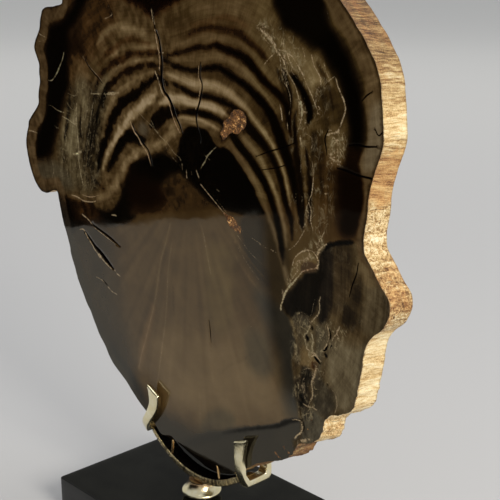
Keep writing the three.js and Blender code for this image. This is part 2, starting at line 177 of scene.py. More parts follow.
def catmull(points, closed=False, spacing=1.0):
    """Points on a Catmull-Rom curve through points, evenly spaced; extra columns ride along."""
    p = np.array(points, float)
    if closed:
        q = np.vstack([p[-1], p, p[0], p[1]])
    else:
        q = np.vstack([2 * p[0] - p[1], p, 2 * p[-1] - p[-2]])
    out = []
    for i in range(1, len(q) - 2):
        t = np.linspace(0, 1, 12, endpoint=False)[:, None]
        out.append(0.5 * (2 * q[i] + (q[i + 1] - q[i - 1]) * t + (2 * q[i - 1] - 5 * q[i] + 4 * q[i + 1] - q[i + 2]) * t ** 2
                          + (3 * q[i] - q[i - 1] - 3 * q[i + 1] + q[i + 2]) * t ** 3))
    out = np.vstack(out + [q[-2:-1]])
    d = np.r_[0, np.cumsum(np.hypot(*(np.diff(out[:, :2], axis=0).T)))]
    n = max(2, int(round(d[-1] / spacing)) + 1)
    s = np.linspace(0, d[-1], n)
    res = np.stack([np.interp(s, d, out[:, k]) for k in range(out.shape[1])], 1)
    return res[:-1] if closed else res


def poly_dist(P, pts):
    """Unsigned distance from points P to an open polyline, with the arc share t and the side of it."""
    pts = np.asarray(pts, float)[:, :2]
    seg = np.hypot(*(np.diff(pts, axis=0).T))
    cum = np.r_[0, np.cumsum(seg)]
    best = np.full(len(P), 1e9)
    bt = np.zeros(len(P))
    side = np.ones(len(P))
    for i in range(len(pts) - 1):
        a, b = pts[i], pts[i + 1]
        ab = b - a
        L2 = max(ab @ ab, 1e-9)
        t = np.clip(((P - a) @ ab) / L2, 0, 1)
        dx, dy = P[:, 0] - a[0] - t * ab[0], P[:, 1] - a[1] - t * ab[1]
        d = dx * dx + dy * dy
        m = d < best
        best[m] = d[m]
        bt[m] = (cum[i] + t[m] * seg[i]) / cum[-1]
        side[m] = np.sign(ab[0] * dy[m] - ab[1] * dx[m])
    return np.sqrt(best), bt, side


def near(P, pts, reach):
    """Indices of the points within reach of the box of a polyline."""
    p = np.asarray(pts, float)[:, :2]
    lo, hi = p.min(0) - reach, p.max(0) + reach
    return np.where((P[:, 0] > lo[0]) & (P[:, 0] < hi[0]) & (P[:, 1] > lo[1]) & (P[:, 1] < hi[1]))[0]


def inside(P, loop):
    loop = np.asarray(loop, float)
    res = np.zeros(len(P), bool)
    x, y = P[:, 0], P[:, 1]
    j = len(loop) - 1
    for i in range(len(loop)):
        xi, yi, xj, yj = loop[i, 0], loop[i, 1], loop[j, 0], loop[j, 1]
        if yi != yj:
            c = ((yi > y) != (yj > y)) & (x < (xj - xi) * (y - yi) / (yj - yi) + xi)
            res ^= c
        j = i
    return res


def region(P, loop, soft, wobble=None):
    """Share of cover of a closed shape, soft at its edge."""
    cov = np.zeros(len(P))
    loop = catmull(loop, True, 3.0)
    idx = near(P, loop, soft + 4)
    if len(idx) == 0:
        return cov
    Q = P[idx]
    d, _, _ = poly_dist(Q, np.vstack([loop, loop[:1]]))
    d = np.where(inside(Q, loop), d, -d)
    if wobble is not None:
        d = d + wobble[idx]
    cov[idx] = smooth01(d / soft + 0.5)
    return cov


def stroke(P, pts, width, soft=1.2, wobble=None, fade=0.06, spacing=2.0):
    """Share of cover of a line of half-width width (a number, or one for each point)."""
    pts = [tuple(p[:2]) for p in pts]
    w = np.full(len(pts), float(width)) if np.isscalar(width) else np.interp(
        np.linspace(0, 1, len(pts)), np.linspace(0, 1, len(width)), width)
    line = catmull(np.c_[np.array(pts), w], False, spacing)
    reach = w.max() + soft + 2.5
    cov = np.zeros(len(P))
    idx = near(P, line, reach)
    if len(idx) == 0:
        return cov
    Q = P[idx]
    d, t, _ = poly_dist(Q, line)
    hw = np.interp(t, np.linspace(0, 1, len(line)), line[:, 2])
    if fade:
        hw = hw * np.clip(np.minimum(t, 1 - t) / fade, 0.15, 1) ** 0.5
    if wobble is not None:
        d = d + wobble[idx]
    cov[idx] = smooth01((hw - d) / soft + 0.5)
    return cov


# ------------------------------------------------------------------ what lies on the polished face
# All in X and height above the block's top.
CRACKS = [  # centre line, half-width, depth
    ([(-24, 274.9), (-21.5, 269.9), (-19.6, 258), (-20.3, 249.9), (-18.4, 243), (-14.6, 239.9), (-10.9, 234.9),
      (-8.4, 229.9), (-5.3, 225.5), (-3.4, 221.8)], [0.3, 0.55, 0.62, 0.75, 0.65, 0.8, 0.65, 0.55, 0.45, 0.2], 1.4),
    ([(-27.5, 288), (-26.4, 282.4), (-25.2, 277.4), (-24, 274.9)], [0.12, 0.2, 0.25, 0.25], 0.7),
    ([(-47.8, 221.1), (-45.3, 216.8), (-41.5, 214.9), (-39, 211.8), (-34, 208), (-32, 204.3), (-30.3, 199.3)],
     [0.2, 0.35, 0.4, 0.42, 0.35, 0.3, 0.15], 0.9),
    ([(12.7, 260), (12.3, 253.3), (14, 249.3), (12.7, 242.7), (10, 236), (8.7, 232), (10, 225.3), (12, 221.3), (11.7, 218)],
     [0.15, 0.3, 0.35, 0.45, 0.55, 0.5, 0.35, 0.25, 0.12], 1.2),
    ([(-92.7, 254.4), (-89.9, 251.5), (-82.8, 246.5), (-80, 245), (-76, 242)], [0.12, 0.3, 0.4, 0.35, 0.12], 0.8),
    ([(-93, 153.6), (-88, 152), (-80, 149.9), (-72, 147.6), (-65, 145)], [0.12, 0.4, 0.5, 0.45, 0.12], 1.0),
    ([(-100.5, 147), (-95, 142.8), (-90, 139.4), (-85, 136.9), (-80, 133.8), (-75, 130.7), (-71, 128.4)], [0.25, 0.8, 0.7, 1.0, 1.1, 0.8, 0.25], 1.8),
    ([(-83, 118.6), (-79, 116.8)], [0.15, 0.15], 0.4),
    ([(118.5, 230.9), (123, 231.7), (128, 231.5), (134, 232.2)], [0.15, 0.35, 0.4, 0.25], 0.8),
    ([(111.5, 218.9), (117, 218.5), (123, 217.5), (132.6, 217.2)], [0.2, 0.45, 0.4, 0.35], 0.8),
    ([(56, 217), (66, 221), (75, 224), (82, 227)], [0.08, 0.2, 0.16, 0.08], 0.25),
    ([(60, 210.5), (70, 213), (78, 216)], [0.08, 0.16, 0.08], 0.25),
    ([(104.4, 236), (102.6, 232), (103.4, 228), (104, 224.5)], [0.1, 0.3, 0.25, 0.1], 0.3),
    ([(125, 174.5), (124, 169), (121.8, 163.6), (120, 157.3)], [0.08, 0.2, 0.2, 0.08], 0.3),
    ([(17.6, 118), (18.4, 112), (19, 106)], [0.06, 0.18, 0.06], 0.2),
    ([(-69, 290), (-65.9, 286), (-63.4, 282.7)], [0.1, 0.2, 0.1], 0.3),
    ([(97.4, 119.6), (99.2, 118.4), (101.2, 117.2)], [0.25, 0.75, 0.3], 1.2),
    ([(103.6, 124.4), (105.4, 125.8), (106.5, 128)], [0.2, 0.5, 0.2], 0.8),
    ([(107.4, 137.2), (108.5, 134.6), (108.2, 132.2)], [0.15, 0.45, 0.15], 0.8),
    ([(130.4, 256.6), (127.6, 254.8), (125.4, 252.6)], [0.1, 0.25, 0.1], 0.4),
    ([(133.6, 239.6), (135.4, 237.4), (137.8, 239.6)], [0.1, 0.25, 0.1], 0.4),
    ([(90.9, 81), (91.2, 78.4), (90.8, 76)], [0.1, 0.25, 0.1], 0.4),
]
PALE = [  # pale edges and veins: centre line, half-width, strength, greenness
    # lips of the cracks
    ([(-27.4, 287.4), (-26.5, 282.4), (-25.1, 278)], 0.55, 1.0, 0),
    ([(-25.3, 278), (-24.5, 272.8), (-23.0, 267.2), (-21.5, 261), (-21.9, 254)], 0.42, 0.85, -0.2),
    ([(-22.0, 263.8), (-18.6, 263.8)], 0.35, 0.9, 0),
    ([(-25.6, 253), (-23.2, 249.0), (-21.0, 244.0), (-18.6, 240.7)], 0.6, 0.95, 0),
    ([(-18.6, 240.7), (-16.0, 238.8), (-13.6, 235.4), (-11.4, 230.6), (-8.6, 225.6), (-5.4, 221.6)], 0.45, 0.85, -0.3),
    ([(-17.4, 258), (-18.0, 250.6), (-16.6, 244.6)], 0.25, 0.45, 0),
    ([(-49.5, 221.8), (-46.6, 217.2), (-42.4, 213.8), (-40.1, 210.8), (-35.5, 206.9), (-33.3, 203.6), (-31.5, 199.3)], 0.42, 0.85, -0.2),
    ([(11.5, 259), (11.2, 253.3), (12.8, 249), (11.4, 242.7), (8.6, 236)], 0.38, 0.75, -0.2),
    ([(-94.6, 256), (-90.6, 252.4), (-84, 248), (-80, 245.9), (-76.6, 243.4)], 0.35, 0.75, 0),
    ([(-102.6, 157.6), (-97, 155.7), (-92, 152.8)], 0.45, 0.8, 0),
    ([(-91.6, 151.8), (-84, 149.6), (-76, 147.2), (-69, 145)], 0.32, 0.7, 0),
    ([(-105.6, 147.4), (-101.4, 147.6), (-97.8, 143.4), (-92.4, 139.0)], 0.5, 0.9, 0),
    ([(-91.6, 137.6), (-86, 134.2), (-80.6, 131.2), (-74, 128.2)], 0.5, 0.85, 0),
    ([(-87.6, 134.8), (-84, 133.4)], 1.0, 0.9, 0),
    ([(-71.4, 128.8), (-68, 126.4), (-64.8, 125.4)], 0.5, 0.75, 0),
    ([(-91.5, 119.3), (-86, 118.8), (-80.6, 117.4)], 0.42, 0.6, 0),
    ([(-78, 115.4), (-74, 113.4), (-69.6, 112.8)], 0.5, 0.6, 0),
    # veins of the left lobe
    ([(-133.6, 238.6), (-129.6, 239), (-126.4, 241.2), (-123.0, 244.4), (-119.7, 248.7), (-116.9, 252.6), (-115, 256.4)], 0.5, 0.7, 0.8),
    ([(-126.4, 241.6), (-123, 245), (-120, 249)], 0.4, 0.6, 0.8),
    ([(-133.9, 223), (-130.4, 222.6), (-126, 221.0), (-121.8, 220.3), (-116.9, 220.0)], 0.32, 0.6, 0.8),
    ([(-116, 219.8), (-105, 219.4), (-95, 220.5), (-86, 220.2)], 0.28, 0.4, 0.4),
    ([(-129.6, 211), (-127.4, 209.6), (-124.4, 209.4)], 0.4, 0.4, 0.9),
    ([(-119.6, 217.4), (-113, 216), (-107.4, 214.2), (-103.8, 214.6)], 0.42, 0.75, 0.2),
    ([(-114, 226.6), (-109.6, 223.4), (-104, 222.8)], 0.34, 0.55, 0.1),
    ([(-112.6, 232.6), (-106, 231.6), (-101.4, 233.2), (-99.6, 236.8)], 0.28, 0.5, 0.1),
    ([(-103.6, 227), (-104.3, 218), (-104.2, 209), (-103.4, 200), (-103.8, 191), (-102.2, 183), (-100.4, 177.4)], 0.42, 0.7, 0.4),
    ([(-98.4, 222), (-99.5, 214), (-98.6, 205)], 0.26, 0.45, 0.3),
    ([(-86, 229), (-90.4, 215), (-94.4, 204), (-97.4, 194), (-100, 184)], 0.3, 0.45, 0.3),
    ([(-83.6, 221), (-87.6, 208), (-91.6, 197), (-95.4, 187)], 0.26, 0.38, 0.3),
    ([(-75.4, 233), (-76.4, 225), (-77.4, 216)], 0.26, 0.38, 0.2),
    ([(-73.6, 238.6), (-72.6, 233.6)], 0.3, 0.45, 0.2),
    ([(-92.4, 189), (-89.8, 183), (-86.8, 177.4)], 0.26, 0.42, 0.2),
    ([(-124.6, 197.6), (-121, 192), (-117.6, 186), (-117.2, 180.6)], 0.34, 0.5, 0.4),
    ([(-118.2, 207.6), (-116.6, 203), (-118.4, 198.6)], 0.6, 0.5, 0.3),
    ([(-112, 205), (-109.6, 199.6), (-111.6, 194), (-110.6, 187)], 0.3, 0.4, 0.3),
    ([(-134.2, 187.6), (-132.6, 182), (-134.6, 176.4)], 0.6, 0.5, 0.5),
    ([(-126, 184), (-124.6, 178), (-126.6, 173.6)], 0.4, 0.35, 0.5),
    ([(-109.6, 195.0), (-107.0, 195.3), (-104.4, 196.2), (-101.2, 197.6)], 0.9, 1.0, 0.35),
    ([(-106.2, 195.6), (-104.2, 196.4)], 0.9, 1.45, 0.5),
    ([(-89, 234.6), (-80, 235.4), (-71, 236), (-64, 237)], 0.55, 0.6, 0.45),
    ([(-71, 236.4), (-66, 236.8), (-60.6, 237.8)], 1.1, 0.7, 0.35),
    ([(-63, 249.6), (-60.6, 252.6), (-57.6, 255)], 0.3, 0.4, 0.2),
    ([(-114.5, 168.2), (-107.6, 168.0), (-100.5, 166.7), (-93.4, 167.2), (-88, 168.4)], 0.45, 0.85, -0.1),
    ([(-101, 170.4), (-94.6, 170.2), (-88.6, 171.4), (-84, 173)], 0.3, 0.7, -0.3),
    ([(-69.6, 290.5), (-66.3, 286), (-63.8, 282.7), (-66, 281), (-71.4, 279.4)], 0.3, 0.6, 0),
    ([(-160.5, 203.4), (-156, 203.8), (-150.5, 203.2)], 0.5, 0.7, 0),
    ([(-142.3, 267.4), (-138, 266), (-133.6, 265)], 0.45, 0.6, 0),
    ([(-143, 262), (-138, 262.6), (-134, 264)], 0.4, 0.4, 0),
    ([(-70.4, 163.0), (-68.6, 163.4), (-67.2, 163.2)], 0.45, 0.9, 0.3),
    # fine lines round the heart
    ([(-44, 229.9), (-36.5, 225.5), (-30.3, 222.4), (-22.8, 217.4), (-16.5, 214.3), (-10.3, 209.3), (-5.9, 207.4), (-3.4, 203.6)], 0.3, 0.55, 0.7),
    ([(-34, 222), (-26, 216.4), (-18, 212), (-11.5, 206.6), (-5, 202.6)], 0.22, 0.4, 0.7),
    ([(-30.6, 225.4), (-26.6, 220.6), (-23.4, 219)], 0.3, 0.5, 0.8),
    ([(12, 204), (16, 209), (18, 212), (24, 217)], 0.55, 0.65, 0.8),
    ([(15, 212.4), (17, 211), (19.4, 209.8)], 0.3, 0.5, 0.7),
    ([(12, 195), (18, 191), (24, 187), (30, 183)], 0.36, 0.65, 0),
    ([(31, 182.4), (35, 180), (39, 177.4), (43, 175.6)], 0.9, 0.9, -0.6),
    ([(22, 191), (32, 183.6), (40, 178), (48, 174.6), (56, 172), (70, 169)], 0.3, 0.38, 0),
    ([(58, 171), (64, 170), (70, 169)], 0.6, 0.4, 0),
    ([(32, 180), (40, 173.4), (50, 165.4), (61, 160)], 0.3, 0.42, 0),
    ([(40, 167), (50, 157.2), (59, 150.4)], 0.28, 0.34, 0),
    ([(0, 201), (0, 197.6)], 0.5, 0.7, 0.2),
    ([(-4, 204.6), (-3.6, 201.4)], 0.35, 0.55, 0.2),
    ([(8.6, 201.8), (10.4, 198.6)], 0.45, 0.65, 0.5),
    ([(4, 201.5), (4.4, 199)], 0.3, 0.5, 0.2),
    ([(25.4, 194.4), (27.0, 193.7)], 0.7, 0.42, 0.8),
    # soft rays of the washed zone
    ([(-16, 166), (-20, 155), (-25, 143), (-28, 130), (-32, 115), (-36.5, 103), (-41, 91), (-46, 79), (-50, 66)], 0.5, 0.26, 0),
    ([(-14, 157), (-18, 140), (-19.5, 124), (-22, 106), (-25, 92), (-28, 78), (-31, 65)], 0.6, 0.28, 0),
    ([(13, 171), (16, 158), (19, 147)], 0.4, 0.34, 0),
    ([(50, 122.6), (54, 125.4)], 0.3, 0.3, 0),
    # crystal seam of the right lower mass
    ([(101.2, 152.6), (100.4, 149.5), (100.8, 146), (99.6, 142.6), (97.6, 140.4), (96.2, 138.4), (94.6, 136.8)], 0.6, 0.75, 0.3),
    ([(97.3, 149.5), (96.2, 146.5), (95.6, 143), (94.4, 140), (94.2, 137)], 0.32, 0.5, 0.3),
    ([(94.6, 136.8), (92.6, 138.6), (91.2, 140.6), (88.6, 141), (85.6, 139.6)], 0.32, 0.6, 0.3),
    ([(94.6, 136.6), (93.6, 133.6), (92.4, 131)], 0.6, 0.75, 0.6),
    ([(96.6, 138.4), (98.4, 136.8), (100.4, 136.2), (102.6, 133.6)], 0.36, 0.5, 0.6),
    ([(92, 131), (90.2, 128.6), (91.4, 126.0), (92.8, 122.4)], 0.7, 0.7, 0.7),
    ([(95.2, 131.4), (96.6, 128), (96.0, 124.4), (97.4, 121)], 0.9, 0.75, 0.7),
    ([(92, 122.6), (95, 121.6), (98.4, 121.4), (101.4, 120.4)], 0.36, 0.75, 0),
    ([(96.2, 119.4), (98, 120.4), (100, 119.7), (101.9, 118.4)], 0.5, 0.95, 0),
    ([(101.6, 123.6), (103.4, 124.0), (104.8, 126.6), (106.2, 129.2)], 0.36, 0.85, 0),
    ([(106.4, 129.6), (107.4, 133), (106.8, 136.4), (105.8, 139)], 0.4, 0.7, 0),
    ([(109.4, 131.4), (110.8, 134), (112.6, 136), (113.8, 139.8)], 0.6, 0.65, 0),
    ([(112.4, 132), (114, 135)], 0.5, 0.5, 0),
    ([(104.4, 120), (105, 116), (104, 112)], 0.32, 0.4, 0.4),
    ([(99.2, 114), (98.4, 110.6), (97.2, 107.6), (96, 105.2), (96.8, 102), (96.9, 98), (95.4, 94.4), (94.2, 91.6)], 0.7, 0.8, 0.2),
    ([(88.4, 90.6), (91, 91.2), (94, 90.6), (97.4, 91.6), (99.4, 91)], 0.45, 0.75, 0.2),
    ([(95.6, 112.4), (93, 112), (90.6, 110.4)], 0.32, 0.5, 0.2),
    ([(91, 106), (89.6, 103.2), (91.4, 100.6), (90.2, 97.4)], 0.32, 0.5, 0.2),
    ([(88.4, 104.6), (86.8, 101.6), (87.6, 98.4), (86.4, 96)], 0.28, 0.45, 0.2),
    ([(112.4, 104), (113.4, 101), (113.8, 97.4), (112.6, 94)], 0.5, 0.65, 0.2),
    ([(106.8, 108.6), (108.8, 106.2), (111.6, 104.6)], 0.36, 0.5, 0.2),
    ([(84.4, 117.4), (86.6, 115.6), (87.2, 112.6)], 0.6, 0.65, 0.2),
    ([(83.6, 109), (85, 106.4), (84.4, 103)], 0.28, 0.4, 0.2),
    ([(89.6, 80.6), (89.8, 77.4), (89, 74.2), (87, 72.6), (85.4, 70.2)], 0.7, 0.75, 0.2),
    ([(83.6, 80.2), (87, 81.4), (89.6, 81)], 0.42, 0.7, 0.2),
    ([(91.6, 82), (91, 84.4), (93.4, 86.8), (96.6, 88)], 0.36, 0.5, 0.2),
    # ledge
    ([(74, 139), (74.2, 142), (76.2, 147.2), (78.6, 151.2), (82.2, 155.2), (86.2, 159.8), (88.6, 162.6)], 0.6, 0.85, 0.6),
    ([(88.6, 162.8), (92, 164.4), (96, 165.8), (99, 166.8)], 0.9, 0.6, -0.5),
    ([(79, 153.6), (81.6, 157), (84.6, 161), (87.6, 164)], 0.5, 0.5, 0.6),
    ([(98.6, 166.8), (99.6, 170), (98.6, 173)], 0.6, 0.8, 0.1),
    ([(98.6, 173), (95.4, 175), (91.4, 174.6), (87, 172.2), (83.4, 168.6), (82.2, 165)], 0.34, 0.75, 0.1),
    ([(98.8, 173), (100.6, 176.6), (103.4, 179.4), (106.6, 181.4)], 0.5, 0.6, 0.1),
    ([(99.4, 177), (100.2, 181), (102.6, 184.8), (104, 188)], 0.36, 0.55, 0.1),
    ([(102.4, 180), (101, 184), (99.0, 187.4)], 0.3, 0.45, 0.1),
    ([(83.6, 166), (87, 168.4), (90.4, 168.6)], 0.7, 0.5, -0.2),
    ([(90.4, 185), (87.9, 181.1), (85.4, 177.4), (81.9, 174.0), (79.3, 172.2)], 0.36, 0.5, 0.1),
    # plume of light strands, upper right
    ([(56, 281.6), (60, 279.4), (64, 276.6), (67.4, 273.6), (69.6, 271)], 0.9, 0.7, 0.2),
    ([(60.6, 276.6), (64, 274), (67, 271.6)], 0.4, 0.55, 0.2),
    ([(62, 279.8), (66, 276.8), (69.6, 272.8)], 0.4, 0.55, 0.2),
    ([(69.6, 271), (72.6, 268.6), (75.2, 265), (76.6, 261.6), (79.4, 258.6), (82.4, 255.2), (84.2, 251.4), (86, 247.4)], 0.42, 0.75, 0.3),
    ([(86, 248.2), (87.3, 244), (86.9, 240)], 1.0, 0.9, 0.6),
    ([(84.4, 250), (85.2, 245.4), (85.6, 241)], 0.34, 0.6, 0.5),
    ([(87, 240.6), (86, 236.6), (84.6, 233.4)], 0.7, 0.5, 0),
    ([(70.6, 270.6), (72.2, 266.6), (73, 262.4), (75.4, 258.4), (77.2, 254), (79.2, 249.6), (79.4, 245), (78.6, 241)], 0.32, 0.6, 0.3),
    ([(72, 268), (74.6, 263.6), (76.2, 258.6), (77.8, 255.6)], 0.28, 0.5, 0.3),
    ([(72.6, 261.6), (74.2, 257.4), (76.8, 254)], 0.26, 0.45, 0.3),
    ([(69.4, 271.6), (73.4, 271.2), (77, 270.6), (80.6, 268.4), (84, 265), (87, 261.4), (89.6, 257.4), (92.6, 253), (95.4, 248.4), (97.4, 244.4), (97.2, 240.6)], 0.36, 0.75, 0.2),
    ([(76.6, 270.4), (78.6, 266.6), (81.4, 262.8)], 0.45, 0.65, 0.2),
    ([(74, 270.6), (77, 266.2), (80.4, 261.6), (84, 258.4)], 0.3, 0.5, 0.2),
    ([(96.4, 247.4), (99, 246), (97, 244.4), (99, 242.6), (96.4, 241.4)], 0.28, 0.55, 0.2),
    ([(87.4, 272.4), (88.6, 269.6), (88.8, 266.4)], 0.26, 0.5, 0.2),
    ([(93, 270.4), (94.2, 266.8), (96.8, 263), (98.8, 260.6), (99.2, 257.6)], 0.36, 0.75, 0.2),
    ([(101.2, 267), (102.6, 263.6), (104.2, 260.6)], 0.32, 0.65, 0.2),
    ([(103.6, 258.6), (106, 260.6), (108.2, 262)], 0.36, 0.5, 0.2),
    ([(108.4, 261.6), (110, 257.6), (112.2, 254), (114.2, 250.6), (115, 246.6), (113.6, 242.6), (112.4, 239.4)], 0.55, 0.75, 0.2),
    ([(61, 263.6), (63.6, 266), (67, 268.8)], 0.32, 0.6, 0.2),
    ([(72.4, 244.6), (73.2, 241.4), (73.8, 238.4)], 0.45, 0.85, 0),
    ([(77.4, 236.4), (77.8, 233.2)], 0.36, 0.7, 0.3),
    ([(94.5, 220), (95.4, 214), (95.2, 208), (94.4, 203.4), (92.8, 199.6), (94.4, 195), (94.2, 190.6), (95.6, 186)], 0.3, 0.7, 0.1),
    ([(92.8, 199.6), (90.6, 194.6), (91.6, 190), (89, 185.6)], 0.3, 0.5, 0.1),
    ([(91.4, 196), (92.6, 193), (91.2, 190.4)], 0.8, 0.4, 0.1),
    ([(103, 233.4), (106, 234.8), (109.6, 235.8)], 0.42, 0.75, 0.1),
    ([(86.4, 230.4), (86.8, 228.4)], 0.6, 0.9, 0.3),
    ([(90.4, 232.6), (92.8, 232), (94.8, 229.6), (94, 226.4)], 0.32, 0.5, 0.1),
    ([(103.4, 205.4), (105.2, 205.6)], 0.4, 0.7, 0.1),
    ([(102, 292), (103.6, 288), (105, 285)], 0.3, 0.35, 0.6),
]
RINGS = [  # dark ring lines: name, points, half-widths, tone, redness
    # inner rings, right
    ("d1", [(-3, 233), (0, 233.5), (10, 234), (20, 233.5), (28, 231.5), (33, 229.5), (40.7, 222.7), (44.7, 219.3), (49.3, 216), (54.7, 211.3), (60, 206), (64.7, 199.3), (68, 192.7), (70.7, 186), (72.4, 180), (74, 172), (75.5, 164)],
     [1.2, 1.3, 1.5, 1.4, 1.2, 1.2, 2.4, 2.4, 2.2, 2.0, 2.0, 1.9, 1.8, 1.7, 1.5, 1.3, 1.0], 0.03, 0.1),
    ("d2", [(-9, 247.4), (-2.8, 246.1), (6, 243.6), (12, 243.5), (20, 243.5), (28, 242.5), (34, 241), (38.5, 240), (44, 236), (49.3, 231.3), (54.7, 228), (59.3, 224.7), (64, 220.7), (68.7, 215.3), (72.7, 208.7), (75.3, 201.3), (78, 194), (80.7, 188), (81.6, 178)],
     [0.8, 1.0, 1.2, 1.1, 1.2, 1.3, 1.5, 1.4, 1.8, 2.2, 2.2, 2.0, 1.9, 1.7, 1.5, 1.5, 1.4, 1.2, 0.8], 0.05, 0.15),
    ("d3", [(-18, 260), (-14, 259), (-9, 257.5), (0, 256.5), (10, 256.7), (20, 258.5), (26, 259.5), (30, 258.7), (35.3, 256.7), (40.7, 254.7), (46, 252.7), (50.7, 250), (55.3, 247.3), (60.7, 244), (66, 239.3), (70, 233.3), (73.3, 226.7), (76, 222), (80, 214), (83.5, 205), (86, 196), (87, 188)],
     [0.4, 0.5, 0.6, 0.6, 0.6, 0.9, 1.4, 1.6, 1.6, 1.6, 1.7, 1.8, 2.0, 2.3, 2.8, 3.1, 3.1, 3.0, 2.6, 2.2, 1.8, 1.2], 0.02, 0.2),
    ("d4", [(-14, 262.5), (-5, 264.5), (0, 265.5), (6, 267.5), (12, 268.7), (18, 268.8), (23.3, 270.7), (30, 269.7), (35.3, 268.7), (41.3, 267.3), (47.3, 265.3), (52.7, 262), (57.3, 258), (62, 254.7), (67.3, 252), (72, 249.3), (76, 246), (78, 241.3), (78.7, 236), (80, 230)],
     [0.4, 0.6, 0.7, 0.8, 0.9, 0.9, 1.3, 1.6, 1.8, 2.0, 2.2, 2.0, 1.9, 1.8, 1.9, 2.1, 2.2, 2.0, 1.6, 1.2], 0.03, 0.5),
    ("d5", [(2, 274), (10, 277.3), (20, 279.3), (30, 279), (36.7, 278.7), (43.3, 277.3), (50, 274), (55.3, 271.3), (60, 268), (64, 265.3)],
     [0.6, 1.0, 1.3, 1.5, 1.6, 1.6, 1.6, 1.4, 1.2, 0.6], 0.22, 0.5),
    ("d6", [(6, 279.5), (15, 281.7), (26, 284), (35.3, 284.7), (43.3, 283.3), (50, 281)], [0.5, 0.7, 0.9, 1.0, 0.9, 0.5], 0.42, 0.3),
    # stripes at the right
    ("s1", [(83.5, 224), (85, 215), (87, 205), (88, 196), (88.5, 186)], [1.5, 2.0, 2.0, 1.7, 1.0], 0.08, 0.2),
    ("s2", [(90, 226), (92, 218), (93, 208), (93.4, 198), (93, 188)], [0.7, 1.1, 1.3, 1.1, 0.7], 0.1, 0.2),
    ("s3", [(84, 244), (82, 238), (83, 230), (85, 222)], [0.6, 1.2, 1.3, 0.8], 0.1, 0.2),
    ("lens", [(79.5, 260.5), (84, 257), (88.3, 252), (91.6, 246.5), (92.6, 242), (91, 237.5)], [0.7, 1.5, 2.0, 2.5, 2.1, 0.9], 0.01, 0.0),
    ("s4", [(74, 262), (77, 256), (79, 249), (80, 243)], [0.7, 1.2, 1.4, 1.0], 0.06, 0.1),
    ("s5", [(98, 232), (99, 222), (101, 212), (102, 204)], [0.8, 1.3, 1.2, 0.6], 0.25, 0.2),
    ("s6", [(96, 268), (101, 262), (105, 255), (107, 247)], [0.5, 0.9, 0.9, 0.5], 0.25, 0.1),
    ("s7", [(70, 262), (74, 254), (77, 247)], [0.4, 0.8, 0.5], 0.15, 0.1),
    # left rings
    ("d1l", [(-5, 232.6), (-12, 232.2), (-19, 229.5), (-24, 226.5), (-30, 222.5)], [1.0, 2.2, 3.6, 4.2, 2.2], 0.05, 0.2),
    ("d1m", [(-36, 213.6), (-40.9, 213), (-46.5, 214.2), (-51, 214), (-55, 211), (-59, 208), (-63.4, 203), (-68.4, 197.5), (-73, 190)], [1.2, 2.6, 2.8, 3.0, 2.8, 2.6, 2.6, 2.2, 1.2], 0.02, 0.1),
    ("d2l", [(-16, 247.5), (-24, 249.9), (-30.3, 246.8), (-36.5, 243.6), (-42.8, 239.3), (-49, 236.1), (-54.6, 233.6), (-59.6, 229.9), (-64.6, 224.9), (-68.4, 219.9), (-71.5, 214.3), (-74, 209.3), (-77.8, 204.3), (-81, 197), (-84, 188)],
     [0.6, 1.1, 1.5, 1.8, 2.0, 2.0, 2.2, 2.3, 2.4, 2.4, 2.4, 2.4, 2.3, 1.9, 1.2], 0.03, 0.2),
    ("d3l", [(-22, 256.5), (-30.3, 256), (-36.5, 255.5), (-43.4, 253.6), (-49.6, 251.8), (-55.9, 249.3), (-62, 245.5), (-67.8, 242.4), (-72.8, 238.6), (-75.9, 233.6), (-79, 227.4), (-82, 221), (-84, 212)],
     [0.5, 0.9, 1.1, 1.2, 1.3, 1.4, 1.4, 1.4, 1.5, 1.6, 1.6, 1.5, 1.0], 0.12, 0.4),
    ("d4l", [(-21.5, 263.6), (-30, 262.6), (-40.3, 261.8), (-49, 260.5), (-54, 258), (-60.3, 256), (-65.3, 254.3), (-71.5, 250.5), (-77.8, 246.1), (-81.5, 241.1)], [0.5, 0.9, 1.1, 1.2, 1.3, 1.3, 1.2, 1.2, 1.1, 0.7], 0.25, 0.5),
    ("d5l", [(-30, 268), (-50, 269), (-62, 264), (-72, 258), (-80, 252)], [0.6, 1.0, 1.1, 1.0, 0.6], 0.4, 0.4),
    ("e1", [(-84, 234), (-87.5, 222), (-91.5, 210), (-95.5, 199), (-98.5, 188)], [0.8, 1.4, 1.6, 1.3, 0.8], 0.27, 0.0),
    ("e2", [(-78, 229), (-81.5, 217), (-84.5, 206), (-88, 195), (-91.5, 184)], [0.7, 1.2, 1.4, 1.2, 0.6], 0.30, 0.0),
    ("e3", [(-99, 226), (-100, 214), (-100, 202), (-99, 190)], [0.5, 0.9, 1.1, 0.7], 0.3, 0.3),
    ("e4", [(-110, 232), (-112.5, 222), (-115, 212), (-119, 202)], [0.6, 1.3, 1.2, 0.7], 0.25, 0.1),
    ("e5", [(-78, 178), (-88, 182), (-98, 186)], [0.6, 0.9, 0.5], 0.3, 0.3),
]
